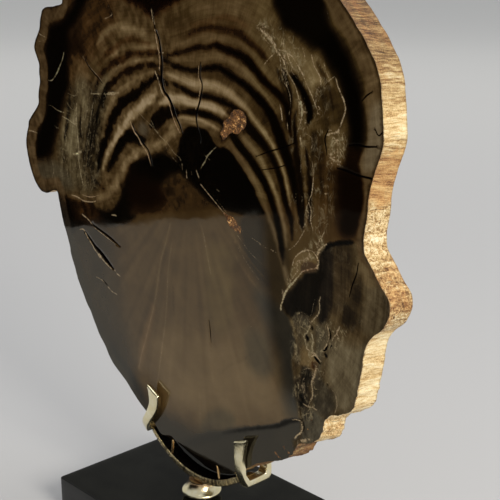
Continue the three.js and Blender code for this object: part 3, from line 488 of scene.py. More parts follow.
TANS = [  # light ring lines: points, half-widths, tone
    ([(-22, 236), (-12, 239), (0, 239.5), (10, 239.4), (20, 238.7), (28, 237), (34, 235)], [1.6, 2.4, 2.6, 2.6, 2.4, 2.2, 1.4], 0.90),
    ([(-16, 253), (0, 250.6), (10, 249), (20, 249.6), (30, 248.4), (38, 246), (44, 242), (50, 238.6), (56, 234), (63, 228.4), (69, 222), (73.6, 215), (77, 206), (80, 194)],
     [1.8, 2.6, 2.8, 2.8, 2.6, 2.4, 2.2, 1.8, 1.6, 1.5, 1.5, 1.4, 1.3, 1.0], 0.80),
    ([(44, 226.7), (50, 222), (56.7, 216.7), (61.3, 212), (66.7, 204.7), (70.7, 198), (73.3, 190.7), (76, 184), (77.6, 174)], [1.4, 1.7, 1.7, 1.6, 1.6, 1.5, 1.4, 1.3, 0.9], 0.68),
    ([(-26, 241), (-35.3, 234.6), (-41.5, 230.6), (-47.8, 226), (-54, 220.8), (-59, 216.4), (-63.4, 211.1), (-68.4, 206.1), (-73.4, 200), (-79, 190)],
     [2.6, 2.8, 3.0, 3.0, 2.8, 2.6, 2.4, 2.2, 1.8, 1.0], 0.86),
    ([(-7.1, 222.4), (-15.3, 218), (-24, 213), (-30.9, 209.9), (-37.1, 207.4), (-43.4, 205), (-49.6, 201.8), (-55.9, 196.8), (-62, 188), (-74, 176), (-86, 170)],
     [2.0, 2.6, 2.8, 2.6, 2.4, 2.4, 2.6, 2.6, 2.8, 2.4, 1.4], 0.66),
    ([(35.3, 220.7), (44.7, 214), (51.3, 207.3), (56.7, 201.3), (60.7, 194), (64.7, 186.7), (68.7, 180), (73, 170), (77, 160), (79, 152)],
     [1.2, 1.4, 1.4, 1.4, 1.4, 1.4, 1.5, 1.5, 1.4, 1.0], 0.55),
    ([(-8, 229), (0, 230.3), (10, 230.6), (20, 229), (27, 227)], [1.0, 1.4, 1.5, 1.3, 0.8], 0.84),
    ([(-14, 223), (-8, 226.5), (0, 228), (10, 228), (18, 226.5)], [1.4, 1.2, 0.9, 0.9, 0.4], 0.66),
    ([(-24, 244), (-30, 241.5)], [1.5, 1.5], 0.7),
    ([(-8, 261), (4, 262), (14, 263.5), (26, 265), (36, 263.5), (46, 259.5), (54, 254.5), (61, 249), (68, 242), (73, 234)], [1.2, 1.6, 1.8, 1.7, 1.6, 1.5, 1.4, 1.3, 1.2, 0.8], 0.55),
    ([(-6, 269.5), (4, 271), (16, 274), (30, 274.4), (42, 273), (52, 268.6), (60, 262.6), (66, 258)], [1.2, 1.6, 1.8, 1.6, 1.5, 1.4, 1.3, 0.8], 0.52),
    ([(6, 287), (20, 289), (36, 290), (50, 288), (60, 284)], [2.0, 2.6, 3.0, 2.6, 1.5], 0.50),
    ([(-24, 260), (-36, 258.7), (-48, 256.6), (-58, 253), (-68, 248), (-76, 241)], [0.9, 1.2, 1.4, 1.4, 1.2, 0.8], 0.60),
    ([(-26, 253), (-38, 250), (-48, 245.6), (-58, 240), (-66, 233.5), (-72, 226), (-77, 217)], [1.0, 1.4, 1.6, 1.7, 1.7, 1.5, 1.0], 0.62),
    ([(-24, 267), (-38, 265.8), (-52, 264.6), (-64, 259.8), (-74, 254)], [1.0, 1.3, 1.3, 1.2, 0.8], 0.62),
    ([(-32, 273.6), (-46, 274.6), (-58, 276), (-70, 272), (-80, 264)], [1.4, 2.2, 2.6, 2.4, 1.4], 0.62),
]


def paint(P, back=False):
    """Fields of the cut face at points P (X, height above the block)."""
    x, z = P[:, 0], P[:, 1]
    n = len(P)
    wob = 0.9 * fbm(x / 7, z / 7, 3, 5)
    wob2 = 0.5 * fbm(x / 2.6, z / 2.6, 2, 9)
    frill = (1.5 * fbm(x / 4.2, z / 4.2, 3, 811) + 0.8 * fbm(x / 1.8, z / 1.8, 2, 813)) * step(4, -14, x) * step(186, 200, z) * (1 - 0.6 * step(-66, -90, x))
    frill = frill + 0.5 * fbm(x / 5.5, z / 5.5, 3, 815)
    px, pz = x - PITH[0], z - PITH[1]
    r, phi = np.hypot(px, pz), np.degrees(np.arctan2(px, pz))

    T = np.full(n, 0.47) + 0.05 * fbm(x / 16, z / 16, 3, 33)
    red = np.zeros(n)
    olive = np.zeros(n)
    grey = np.zeros(n)
    rough = np.zeros(n)
    pale = np.zeros(n)
    green = np.zeros(n)
    rust = np.zeros(n)
    relief = np.zeros(n)
    crack = np.zeros(n)
    calm_reflection_zone = np.zeros(n)
    fib = np.zeros(n)
    gloss = np.ones(n)
    net = np.zeros(n)

    def lay(cov, tone=None, **kw):
        nonlocal T, red, olive, grey, rough, relief
        if tone is not None:
            T = T * (1 - cov) + tone * cov
        for k, v in kw.items():
            if k == "red":
                red = red * (1 - cov) + v * cov
            elif k == "olive":
                olive = olive * (1 - cov) + v * cov
            elif k == "grey":
                grey = grey * (1 - cov) + v * cov
            elif k == "rough":
                rough = rough * (1 - cov) + v * cov
            elif k == "relief":
                relief = relief * (1 - cov) + v * cov

    # ground tones of the main zones
    lay(step(276, 290, z) * step(-30, 10, x) * (1 - step(50, 80, x)), 0.50, olive=0.35)
    lay(region(P, [(-80, 286), (-60, 284), (-40, 276), (-26, 270), (-28, 262), (-50, 266), (-70, 262), (-84, 262)], 7, wob), 0.56, olive=0.2)
    lay(region(P, [(50, 240), (66, 246), (84, 226), (92, 196), (84, 180), (66, 184), (66, 205), (58, 224)], 12), 0.34, red=0.1)
    lay(region(P, [(-150, 300), (-60, 300), (-62, 288), (-60, 276), (-78, 262), (-96, 250), (-112, 250), (-130, 280)], 14), 0.36, red=0.35)
    lay(region(P, [(-118, 262), (-100, 268), (-92, 258), (-96, 246), (-106, 240), (-116, 246)], 12), 0.16, red=0.4)
    lay(region(P, [(-70, 256), (-84, 240), (-92, 220), (-94, 196), (-110, 180), (-134, 186), (-124, 210), (-112, 232), (-112, 250), (-96, 254)], 12), 0.46, olive=0.25)
    lay(region(P, [(-107, 254), (-92, 252), (-90, 236), (-92, 220), (-106, 218)], 9), 0.5, red=0.2)
    lay(region(P, [(-118, 218), (-106, 219), (-103, 205), (-105, 196), (-120, 196)], 7), 0.68, olive=0.5)
    lay(region(P, [(-92, 238), (-82, 238), (-82, 210), (-88, 184), (-98, 180), (-96, 200), (-92, 220)], 9, wob * 2), 0.30, red=0.3)
    lay(region(P, [(-102, 246), (-92, 246), (-91, 228), (-95, 214), (-102, 212)], 6, wob * 2), 0.56, olive=0.4)
    lay(region(P, [(66, 300), (112, 300), (112, 260), (116, 236), (116, 205), (112, 188), (98, 184), (84, 186), (84, 220), (80, 246), (62, 270), (46, 290)], 8), 0.52, olive=0.4)
    lay(region(P, [(78, 274), (100, 266), (108, 254), (96, 250), (86, 262), (74, 268)], 7), 0.68, olive=0.4)
    lay(region(P, [(94, 234), (102, 234), (103, 218), (96, 216)], 5), 0.26, olive=0.5)
    lay(region(P, [(98, 222), (115, 220), (117, 196), (112, 186), (100, 186)], 10), 0.3, red=0.25)
    lay(region(P, [(100, 198), (113, 198), (113, 186), (102, 184)], 8, wob), 0.40, red=0.15)
    lay(region(P, [(96, 256), (112, 254), (113, 238), (104, 234), (97, 240)], 4, wob), 0.34, olive=0.1)
    lay(region(P, [(105, 238), (115, 236), (115, 222), (106, 220)], 4, wob), 0.56, olive=0.4)

    # lower half, below a slanting painted reflection edge: smooth brown, greyer to the left, light toward the foot; the
    # brown is partly the stone's own colour and partly painted reflection of the floor, and the grey is painted
    # reflection
    # painted reflection edge: below this slanting line the face is painted lighter and greyer
    low = np.clip((174 + 0.235 * (x + 20) - z) / 2.0 + 0.5, 0, 1)
    lay(low * (1 - step(64, 84, x)), 0.42, olive=0.1, red=0.05)
    lay(low * region(P, [(-132, 166), (-96, 162), (-78, 152), (-70, 122), (-62, 92), (-50, 58), (-70, 52), (-112, 100)], 34, wob * 2), 0.30, grey=0.35, red=0.0)
    lay(low * region(P, [(-50, 152), (0, 170), (36, 168), (40, 130), (62, 104), (82, 98), (82, 84), (44, 62), (0, 52), (-40, 60), (-52, 90)], 30, wob * 2), 0.47, red=0.06)
    lay(low * region(P, [(-30, 98), (30, 112), (80, 108), (83, 86), (50, 67), (10, 55), (-25, 60)], 28, wob * 2), 0.62, red=0.05)
    lay(low * region(P, [(16, 160), (38, 162), (38, 128), (26, 112), (16, 120)], 8, wob), 0.50, olive=0.7)
    lay(low * region(P, [(37.5, 154), (60, 160), (66, 138), (50, 124), (38, 128)], 6, wob), 0.42, red=0.12)
    lay(low * region(P, [(44, 182), (60, 186), (72, 178), (72, 152), (60, 150), (46, 166)], 8, wob), 0.22, olive=0.5)
    lay(low * region(P, [(50, 122), (64, 120), (68, 104), (56, 97), (48, 106)], 10, wob * 1.6), 0.42, olive=1.0, grey=0.2)
    lay(low * stroke(P, [(-33, 114), (-38, 99), (-44, 83), (-48, 70)], 3.2, 5.0, wob, fade=0.3), 0.56, red=0.22)
    lay(low * region(P, [(8, 48), (16, 62), (28, 68), (38, 66), (36, 56), (22, 46)], 7, wob * 1.6), 0.47, olive=1.0, grey=0.2)
    lay(low * region(P, [(-112, 116), (-97, 94), (-83, 82), (-67, 71), (-50, 60), (-44, 47), (-70, 56), (-92, 74), (-108, 98)], 8, wob), 0.22, grey=0.7, olive=0.3)
    lay(region(P, [(-60, 30), (-50, 50), (-30, 47), (-12, 46), (4, 44), (20, 50), (30, 24)], 14, wob), 0.25, grey=0.4, olive=1.0)
    lay(region(P, [(4, 22), (6, 41), (16, 47), (30, 53.5), (40, 58.5), (54, 65), (70, 72), (90, 81), (112, 90), (100, 60), (60, 26)], 3.6, wob2), 0.22, grey=0.5, olive=1.0)
    lay(stroke(P, [(-10, 31), (4, 39), (18, 46.5), (34, 55), (50, 63)], [1.6, 2.6, 2.8, 2.0, 1.2], 4.5, wob), 0.10, grey=0.5, olive=0.6)
    lay(stroke(P, [(46, 61.5), (54, 65), (64, 69), (72, 72.6), (79, 77), (85, 80), (90, 82)], [0.8, 0.9, 1.0, 1.2, 1.5, 1.2, 0.8], 1.6, wob2), 0.03, grey=0.3)
    T = T + low * (0.03 * fbm(x / 12, z / 13, 3, 37) + 0.05 * fbm(x / 28, z / 24, 3, 39))
    for line, hw_, dT in (([(-15, 168), (-20, 155), (-25, 143), (-28, 130), (-32, 115), (-36.5, 103), (-41, 91), (-46, 79), (-49, 70)], 0.7, 0.17),
                          ([(-14, 157), (-18, 140), (-19.5, 124), (-22, 106), (-25, 92), (-28, 78), (-31, 65)], 0.6, 0.12),
                          ([(11, 174), (13, 168), (16, 158), (19, 147)], 0.5, 0.15),
                          ([(36, 172), (46, 164), (56, 157), (64, 152)], 0.5, 0.14), ([(40, 160), (50, 151), (60, 144)], 0.5, 0.12),
                          ([(58, 171), (66, 168), (74, 166)], 0.5, 0.14), ([(34, 177), (42, 167), (47, 160)], 0.4, 0.10),
                          ([(-14, 132), (-13.6, 120), (-13.4, 112)], 0.5, -0.10), ([(16, 118), (18, 106), (19, 98)], 0.4, -0.07),
                          ([(26, 88), (34, 96), (44, 102), (54, 110)], 0.5, -0.07), ([(8, 76), (8.4, 60), (8, 46)], 0.4, 0.06),
                          ([(40, 74), (40.4, 62), (40, 54)], 0.4, 0.06)):
        T = T + stroke(P, line, hw_, 1.5, wob2 * 0.4, fade=0.25) * dT * low * (0.75 + 0.5 * fbm(x / 5, z / 5, 2, 861))
    for k in range(26):  # soft rays fanning down from the pith
        a = math.radians(-62 + 4.7 * k + 2.2 * math.sin(k * 2.3))
        r0, r1 = 30 + 14 * math.sin(k * 1.7) ** 2, 90 + 55 * math.cos(k * 1.1) ** 2
        line = [(PITH[0] + q * math.sin(a), PITH[1] - q * math.cos(a)) for q in (r0, (r0 + r1) / 2, r1)]
        c = stroke(P, line, 1.3 + 0.8 * math.sin(k) ** 2, 3.5, fade=0.3) * low
        T += c * (0.035 if k % 2 else -0.035)

    # right lower mass: coarse and grey-brown, a black hollow under the ledge, a crystal seam down the middle
    R1 = region(P, [(120.5, 184.5), (115, 183.2), (109.5, 181.4), (105, 180), (102.3, 177.3), (99.5, 172.7), (98.6, 168.2), (91.4, 163.6),
                    (86.8, 158.2), (82.3, 154.5), (78.6, 150), (74, 141), (80, 136), (84.5, 124), (82.5, 112), (85, 98), (87, 86), (89.5, 80), (88, 72), (84, 67), (94, 56), (150, 56), (160, 180), (128, 186)], 1.6, wob2 * 1.6)
    lay(R1, 0.46, olive=0.7, grey=0.15, rough=0.35, relief=0.6)
    lay((1 - R1) * region(P, [(56, 144), (74, 144), (90, 141), (90, 112), (92, 86), (82, 82), (76, 94), (72, 112), (64, 128)], 16, wob), 0.30, olive=1.0, grey=0.6)
    lay(R1 * region(P, [(106, 142), (118, 141), (132, 139), (129, 118), (125, 100), (114, 97), (110, 104), (106, 118)], 8, wob * 1.6), 0.63, olive=0.6, grey=0.3)
    lay(R1 * region(P, [(108, 146), (132, 146), (134, 136), (112, 134)], 9, wob * 1.6), 0.46, olive=0.5, grey=0.1)
    lay(R1 * region(P, [(126, 179), (136, 173), (146, 162), (146, 152), (136, 142), (128, 142), (127, 150), (130, 160), (126, 168)], 6, wob), 0.47, olive=0.6, grey=0.25)
    lay(R1 * region(P, [(125, 180), (131, 178), (138, 168), (132, 164), (126, 170)], 4, wob), 0.64, olive=0.3, grey=0.1)
    lay(R1 * region(P, [(121, 165), (127, 167), (129.5, 158), (127, 149), (123, 142), (116, 143), (117, 150), (120, 156)], 9, wob * 2.5), 0.24, olive=0.6)
    lay(R1 * region(P, [(107, 180), (120, 182), (121, 168), (117, 152), (109, 146), (107, 160)], 6, wob), 0.40, olive=0.3, grey=0.2)
    lay(R1 * region(P, [(99, 176), (108, 181), (109, 165), (107, 146), (103, 138), (99, 140), (100, 155)], 4, wob), 0.22, olive=0.2, grey=0.4)
    lay(R1 * region(P, [(74, 141), (79, 150), (87, 158.5), (91, 163), (99, 165.5), (100.5, 172), (102.5, 166), (99.8, 152), (98, 143), (93, 138.5), (84, 136), (76, 137)], 3.6, wob2 * 2 + wob), 0.11, olive=0.8, grey=0.3)
    lay(R1 * region(P, [(84, 139), (93, 140), (94, 134), (90, 131), (84, 132)], 3, wob), 0.40, olive=0.2, grey=0.5)
    lay(R1 * region(P, [(89.5, 133), (97, 134), (98, 124), (96, 119), (91, 120)], 4, wob * 2), 0.52, olive=1.0, grey=0.25)
    lay(R1 * region(P, [(98, 137), (106, 136), (104, 124), (102, 112), (98, 112), (98.6, 124)], 3, wob), 0.52, olive=0.8, grey=0.4)
    lay(R1 * stroke(P, [(85.5, 138), (87, 128), (87, 118), (85.5, 112)], [1.4, 2.2, 2.2, 1.6], 2.2, wob), 0.46, olive=0.5, grey=0.3)
    lay(R1 * region(P, [(88, 122), (97, 121), (99, 114), (97, 111), (88, 112)], 4, wob * 2), 0.56, olive=0.3, grey=0.0)
    lay(R1 * region(P, [(96, 116.4), (100, 116.4), (100, 112.6), (96, 113)], 1.6, wob), 0.36, red=0.6, olive=0.0, grey=0.1)
    lay(R1 * region(P, [(98, 110), (108, 106), (112, 103), (112, 94), (104, 89), (98, 91)], 4, wob * 1.5), 0.40, grey=0.45, olive=0.8)
    lay(R1 * region(P, [(89, 112), (95.6, 112), (96, 106), (93, 102), (89, 103)], 2, wob), 0.22, grey=0.4)
    lay(R1 * region(P, [(84, 104), (93, 103), (94, 92), (90, 87), (85, 90)], 3.5, wob * 2), 0.27, grey=0.4, olive=0.2)
    lay(R1 * region(P, [(91, 89), (104, 88), (108, 80), (100, 70), (90, 68), (90, 78)], 3, wob), 0.50, grey=0.55, olive=0.7)
    T = T + R1 * (T > 0.12) * (0.09 * fbm((x - 0.06 * z) / 2.2, z / 15, 3, 61) + 0.12 * fbm(x / 5, z / 8, 3, 65))
    T = T + R1 * (T <= 0.12) * 0.04 * fbm((x - 0.06 * z) / 2.4, z / 25, 2, 63)
    # tan area over the ledge
    lay(region(P, [(80, 186), (100, 187), (104, 180), (99, 174), (97, 165.5), (90, 163), (82, 156), (78, 152), (76, 160), (77, 175)], 3, wob2), 0.46, olive=0.35)
    lay(region(P, [(82.1, 165.5), (80.4, 156.6), (85.7, 159.8), (90.5, 164.1), (95.1, 165.4), (98.0, 165.8), (98.9, 171.1), (94.9, 174.4), (86.3, 172.1)], 1.5, wob2 * 0.5), 0.62, olive=0.4)
    lay(region(P, [(88, 162.6), (92, 163.4), (98.6, 165.4), (99, 169), (94, 169.4), (88.6, 166.4)], 1.5, wob), 0.46, red=0.45, grey=0.3, olive=0.0, rough=0.7)
    lay(region(P, [(62, 186), (74, 186), (80, 160), (74, 142), (66, 150), (60, 170)], 9), 0.31, olive=0.9, grey=0.2)

    # top dark patch
    lay(region(P, [(-66, 298), (-56, 293.5), (-46, 290), (-36, 286.5), (-27, 283), (-20, 285.5), (-12, 289), (-4, 292.5), (4, 298), (10, 306), (-10, 312), (-60, 320), (-76, 308)], 7.0, wob * 1.6), 0.05, red=1.0)
    # dark heart
    lay(region(P, [(-8, 204), (-6, 214), (-3, 221), (3, 225.5), (10, 226), (18, 225), (24.7, 217.7), (32.7, 218), (38, 214.7), (43.3, 210), (48.7, 204.7), (53.3, 200.7),
                   (56.7, 196), (60, 191.3), (62, 187.5), (40, 184), (20, 186), (8, 192), (-2, 196)], 2.2, wob), 0.0)
    lay(region(P, [(-8, 205), (-18, 208), (-26, 207), (-34, 203), (-42, 202), (-48, 198), (-54, 192), (-58, 184), (-46, 180), (-30, 182), (-22, 186), (-12, 196), (-4, 200)], 5.5, wob * 2), 0.0)
    lay(region(P, [(-58, 184), (-62, 176), (-72, 166), (-84, 164), (-92, 160), (-80, 156), (-64, 158), (-52, 163), (-46, 170), (-46, 180)], 5.0, wob), 0.02)
    # gold-brown zone under the heart
    lay(region(P, [(-42, 186), (-26, 188), (-14, 196), (0, 197), (10, 190), (30, 184), (50, 186), (50, 180), (20, 178), (-20, 168), (-52, 160), (-52, 168)], 9.0, wob * 2) * (1 - low), 0.30, red=0.15)
    lay(region(P, [(-54, 192), (-36, 192), (-24, 187), (-20, 179), (-34, 172), (-52, 172)], 15.0, wob * 3) * (1 - low), 0.08, red=0.7)
    # dark lower left
    lay(region(P, [(-132, 168), (-120, 166), (-90, 164), (-78, 158), (-96, 152), (-112, 146), (-118, 140), (-124, 138), (-134, 160)], 5.0, wob), 0.12, red=0.4)
    lay(region(P, [(-128, 164), (-116, 162), (-112, 150), (-120, 140), (-130, 145)], 5.0, wob), 0.02)
    lay(region(P, [(-106, 164), (-92, 166), (-84, 158), (-92, 152), (-104, 154)], 5.0, wob), 0.26, red=0.5)

    for pts, hw, tone in TANS:
        lay(stroke(P, pts, hw, 3.6, wob2 * 1.2 + frill), min(1.0, tone + 0.06), red=0.0, olive=0.0)
    for name, pts, hw, tone, rd in RINGS:
        lay(stroke(P, pts, np.array(hw) + 0.35, 2.9, wob2 * 1.1 + frill), tone, red=rd)
    blotch = fbm(x / 3.4, z / 3.4, 4, 821)
    T = T + (T > 0.22) * (0.10 + 0.12 * step(4, -14, x)) * blotch * (1 - low)
    # cloudy white spot by the second ring
    lay(region(P, [(-43, 221), (-38.5, 224.5), (-34, 222), (-34.5, 217), (-40, 215.6)], 6.0, wob * 2.5) * 0.48, 0.66, grey=0.8)

    # sapwood, black
    sapR = region(P, [(68.6, 296), (84, 300), (98.6, 296.5), (100.5, 289), (105.9, 283.6), (111.4, 279), (116.8, 273.6), (120.5, 267.3), (124, 259), (126.8, 251), (127.7, 241.8),
                      (127.7, 232.7), (126.8, 227.3), (127.7, 215.5), (126.8, 204.5), (125, 196.4), (121.4, 191.8), (118.6, 197.3), (115, 203.6), (114, 212), (118, 222), (117.5, 230),
                      (116.8, 234.5), (116, 241.8), (114, 250), (111.4, 256.4), (108.6, 261.8), (105, 266.4), (100.5, 270), (95, 273.6), (89.5, 277.3), (81.4, 279), (74.2, 281.8), (71.5, 287.3)], 8.5, wob * 1.8)
    lay(sapR, 0.0, olive=0.0, red=0.0)
    lay(region(P, [(117, 229), (128, 228), (128, 216), (117, 216)], 5.0, wob), 0.12, red=0.6)
    lay(region(P, [(112, 218), (128, 218), (129, 204), (127, 192), (118, 186), (112, 190), (111, 206)], 11.0, wob * 2), 0.06, red=0.6)
    top_r = region(P, [(66, 300), (72, 288), (80, 282), (96, 276), (104, 286), (98, 300), (90, 312), (74, 316), (64, 308)], 12.0, wob * 2)
    lay(top_r, 0.03)
    sapL = region(P, [(-92, 312), (-100.5, 300), (-100.5, 289), (-108.3, 282), (-112.6, 278.5), (-119.7, 275.7), (-126.8, 273.5), (-131, 271.4), (-131.8, 267.8), (-133.2, 264.3), (-136.7, 260.7),
                      (-136.7, 256.5), (-135.7, 252.2), (-136, 246.5), (-136, 240.9), (-136.7, 235.2), (-136.7, 229.5), (-138.2, 224.5), (-139.6, 219.6), (-143.1, 216.7), (-146, 213.2),
                      (-147.4, 208.2), (-150.2, 204.6), (-151.7, 199.7), (-152.4, 195.4), (-153.8, 191.1), (-152, 184.5), (-141, 186.9), (-136.7, 189), (-132.5, 194), (-130.4, 199.7), (-128.2, 204.6),
                      (-125.4, 208.9), (-123.3, 213.9), (-121, 218.9), (-118.3, 224.5), (-115.4, 229.5), (-111.9, 235.2), (-111.2, 243.7), (-110.5, 252.2), (-109.8, 261.5), (-109, 268.6),
                      (-104, 272.8), (-97, 277.8), (-93.4, 283.5), (-84, 292), (-78, 304)], 10, wob)
    lay(sapL, 0.0, red=0.2, olive=0.0)
    # washed greenish foot of the left lobe
    lay(region(P, [(-152, 184), (-128, 188), (-112, 182), (-112, 172), (-128, 170), (-146, 168), (-156, 174)], 9, wob), 0.46, olive=0.8, grey=0.35)
    lay(region(P, [(-134, 184), (-112, 190), (-104, 180), (-112, 174), (-128, 174)], 8, wob), 0.5, olive=0.9)

    # rind along the outer edge
    edge, t_edge, _ = poly_dist(P, EDGE_LOOP)
    bumps = 1.6 * fbm(x / 9, z / 9, 3, 3)
    wide = np.interp(np.degrees(np.arctan2(x, z - 180)), [-180, -140, -110, -95, -85, -70, -55, -40, -20, 0, 20, 35, 50, 62, 71, 75, 80, 90, 95, 100, 140, 180],
                     [1.5, 6, 7, 8, 10.5, 9.5, 9, 6, 5, 5, 6, 8, 9, 9.5, 9.5, 4.5, 3.0, 4.5, 2.0, 1.5, 1.5, 1.5])
    rind = smooth01((wide + bumps - edge) / 2.2 + 0.5)
    up = step(150, 172, z)
    T_r = 0.50 + 0.1 * fbm(x / 4, z / 4, 3, 77)
    lay(rind * up, T_r, red=0.15, olive=0.15, grey=0.1)
    stripes = fbm(t_edge * 420, edge / 6, 2, 21)
    T += rind * up * 0.13 * stripes * step(-90, -120, x)
    T += rind * up * 0.07 * stripes * step(90, 120, x)
    lay(rind * (1 - up) * step(-30, -70, x), 0.32, grey=0.6)
    lay(rind * region(P, [(127, 220), (138, 226), (141, 240), (137, 252), (131, 250), (128, 236)], 6, wob), 0.70, grey=0.3, olive=0.2)
    # darker line at the very edge
    lay(smooth01((1.5 - edge) / 1.2 + 0.2) * 0.7 * np.where(x > 60, step(168, 186, z), step(120, 160, z)), 0.14)

    # grain
    T += 0.035 * fbm(x / 11, z / 11, 3, 41) * (T > 0.1)
    left_z = region(P, [(-70, 246), (-84, 240), (-100, 244), (-114, 226), (-126, 196), (-124, 178), (-100, 172), (-84, 180), (-78, 214)], 10)
    right_z = region(P, [(98, 262), (84, 256), (78, 236), (80, 210), (80, 186), (104, 186), (110, 200), (106, 230), (104, 250)], 8)
    fu = x - 0.27 * (z - 205) * step(-60, -82, x) * (1 - step(-104, -124, x)) - 0.06 * (z - 120) * R1
    T = T + left_z * (T > 0.08) * (0.05 * fbm(fu / 1.7, z / 19, 3, 831) + 0.10 * fbm(fu / 4.0, z / 26, 2, 833))
    T = T + right_z * (T > 0.08) * 0.13 * fbm(fu / 1.6, z / 22, 3, 835)
    T = np.maximum(T, left_z * (1 - low) * (0.20 + 0.06 * fbm(fu / 2.2, z / 18, 2, 837)) * (x < -84))
    fib = np.maximum(np.maximum(left_z * 0.20, right_z * 0.34), R1 * 0.34)
    olive = np.maximum(olive, 0.6 * step(40, 62, x) * (1 - low) * (z > 150))
    olive = np.maximum(olive, left_z * 0.95)
    red = red * (1 - 0.8 * left_z)
    grey = np.maximum(grey, left_z * 0.22)
    gloss = 1 - 0.86 * R1
    gloss = np.minimum(gloss, 1 - 0.93 * step(57, 69, x + 0.10 * (z - 150)) * (z > 60) * step(84, 100, z + 0.0 * x))
    by_clip = region(P, [(-54, 66), (-44, 70), (-34, 64), (-28, 50), (-36, 40), (-56, 46)], 14)
    gloss = gloss * (1 - 0.60 * by_clip)
    T = T + 0.062 * by_clip
    foot_line = stroke(P, [(28, 53), (38, 57.6), (46, 61.2), (54, 64.8), (64, 69), (72, 72.6), (79, 77), (85, 80), (90, 82)], [0.5, 0.7, 0.9, 1.0, 1.0, 1.1, 1.3, 1.1, 0.7], 1.6, wob2)
    gloss = gloss * (1 - 0.75 * foot_line)
    T = T * (1 - 0.8 * foot_line)
    if not back:
        for k in range(15):  # curved wisps running down the left lobe
            q = k / 14.0
            xa, xb = -74 - 44 * q, -92 - 34 * q
            za, zb = 232 - 14 * abs(q - 0.4) + 5 * math.sin(k * 2.1), 178 + 6 * math.sin(k * 1.3)
            bow = 3.2 * math.sin(k * 1.9)
            line = [(xa, za), (xa * 0.7 + xb * 0.3 + bow, za * 0.7 + zb * 0.3), (xa * 0.3 + xb * 0.7 + bow, za * 0.3 + zb * 0.7), (xb, zb)]
            c = stroke(P, line, 0.35 + 0.25 * math.sin(k * 3.1) ** 2, 1.5, wob2 + wob * 0.5, fade=0.35)
            T = T + c * (0.16 if k % 2 else -0.08) * (1 - sapL)
        breaks = np.clip(0.98 + 0.58 * fbm(x / 3.6, z / 3.6, 3, 841) + 0.25 * fbm(x / 1.2, z / 1.2, 2, 843), 0.12, 1.1)
        for pts, hw, strength, gr in PALE:
            c = stroke(P, pts, hw, 0.55, wob2 * 0.6, fade=0.16, spacing=1.0) * strength * breaks * (1 - 0.10 * R1)
            pale = np.maximum(pale, c)
            green = green * (1 - c) + gr * c
        # crystalline patches
        cry = region(P, [(84, 141), (97, 141), (104, 138), (106, 124), (101, 108), (98, 90), (96, 84), (88, 84), (84, 98), (83, 118)], 6, wob * 2)
        spk = np.clip(fbm(x / 1.9, z / 3.2, 4, 101) * 2.1 - 0.12, 0, 1)
        pale = np.maximum(pale, cry * spk * 0.40)
        cry2 = region(P, [(104, 142), (117, 142), (116, 130), (110, 126), (104, 130)], 4, wob * 2)
        pale = np.maximum(pale, cry2 * np.clip(fbm(x / 1.6, z / 2.6, 4, 103) * 1.9 - 0.05, 0, 1) * 0.35)
        net1 = np.clip(1 - np.abs(fbm(x / 3.6, z / 6.0, 3, 105)) * 9, 0, 1) * (0.35 + 0.65 * step(-0.2, 0.4, fbm(x / 7, z / 9, 2, 109)))
        pale = np.maximum(pale, np.maximum(cry, cry2) * net1 * 0.35)
        rough = np.maximum(rough, np.maximum(cry, cry2) * 0.8)
        relief = relief + cry * (0.35 * fbm(x / 3.0, z / 3.0, 3, 55))
        rag = cry * np.clip(fbm(x / 1.5, z / 1.1, 3, 107) * 2.2 - 0.55, 0, 1) * step(120, 104, z)
        T = T * (1 - 0.55 * rag)
        for cx, cz, rr in [(92.5, 128.3, 1.1), (95.4, 134, 0.7), (105.6, 122.6, 0.7), (88.6, 95, 1.1), (90, 93.4, 0.9), (88.6, 90.8, 0.8), (107, 107, 0.5), (109, 128.6, 0.5), (86.4, 98, 0.7)]:
            d = np.hypot(x - cx, (z - cz) * 0.8) + wob2 * 1.2
            h = smooth01((rr - d) / 1.0 + 0.5)
            T = T * (1 - h)
            pale = pale * (1 - h)
            relief = relief + 0.4 * h
        bub = region(P, [(105, 238), (115, 236), (115, 222), (106, 220)], 4, wob)
        cells = np.abs(fbm(x / 1.8, z / 1.8, 2, 131))
        pale = np.maximum(pale, bub * np.clip(0.75 - cells * 3.2, 0, 1) * 0.9)
        mid = region(P, [(83, 250), (90, 248), (91, 236), (85, 234)], 4, wob)
        pale = np.maximum(pale, mid * np.clip(fbm(x / 1.5, z / 1.5, 3, 151) * 2, 0, 1) * 0.7)
        feath = region(P, [(56, 284), (66, 284), (88, 274), (104, 262), (100, 254), (86, 260), (70, 268)], 8)
        rr_ = (x * 0.62 + z * 0.78)
        pale = np.maximum(pale, feath * np.clip(fbm(rr_ / 1.2, (x - z) / 14, 3, 171) * 1.9 - 0.25, 0, 1) * 0.5)
        plume = region(P, [(56, 284), (68, 280), (82, 272), (80, 262), (72, 256), (68, 266), (58, 276)], 5, wob)
        pale = np.maximum(pale, plume * np.clip(fbm(x / 1.3, z / 1.3, 3, 173) * 2.0 - 0.15, 0, 1) * 0.6)
        pale = np.maximum(pale, left_z * np.clip(fbm(fu / 1.6, z / 16, 2, 191) * 2.0 - 0.35, 0, 1) * 0.42)
        pale = np.maximum(pale, right_z * np.clip(fbm(fu / 1.5, z / 18, 2, 193) * 1.9 - 0.5, 0, 1) * 0.34)
        green = np.where(left_z > 0.5, np.maximum(green, 0.35), green)
        net = np.maximum(np.maximum(cry, cry2) * 0.95, R1 * 0.10 * (T > 0.25))
        net = np.maximum(net, np.maximum(plume * 0.9, feath * 0.75))
        net = np.maximum(net, np.maximum(bub, left_z * 0.42))
        net = np.maximum(net, right_z * 0.45)
        fringe = region(P, [(76, 146), (82, 158), (90, 166), (98, 172), (104, 180), (100, 184), (92, 176), (84, 166), (74, 150)], 3, wob)
        pale = np.maximum(pale, fringe * np.clip(fbm(x / 1.7, z / 1.7, 3, 211) * 1.6 + 0.3, 0, 1) * 0.5)
        net = np.maximum(net, fringe * 0.9) * (T > 0.06)
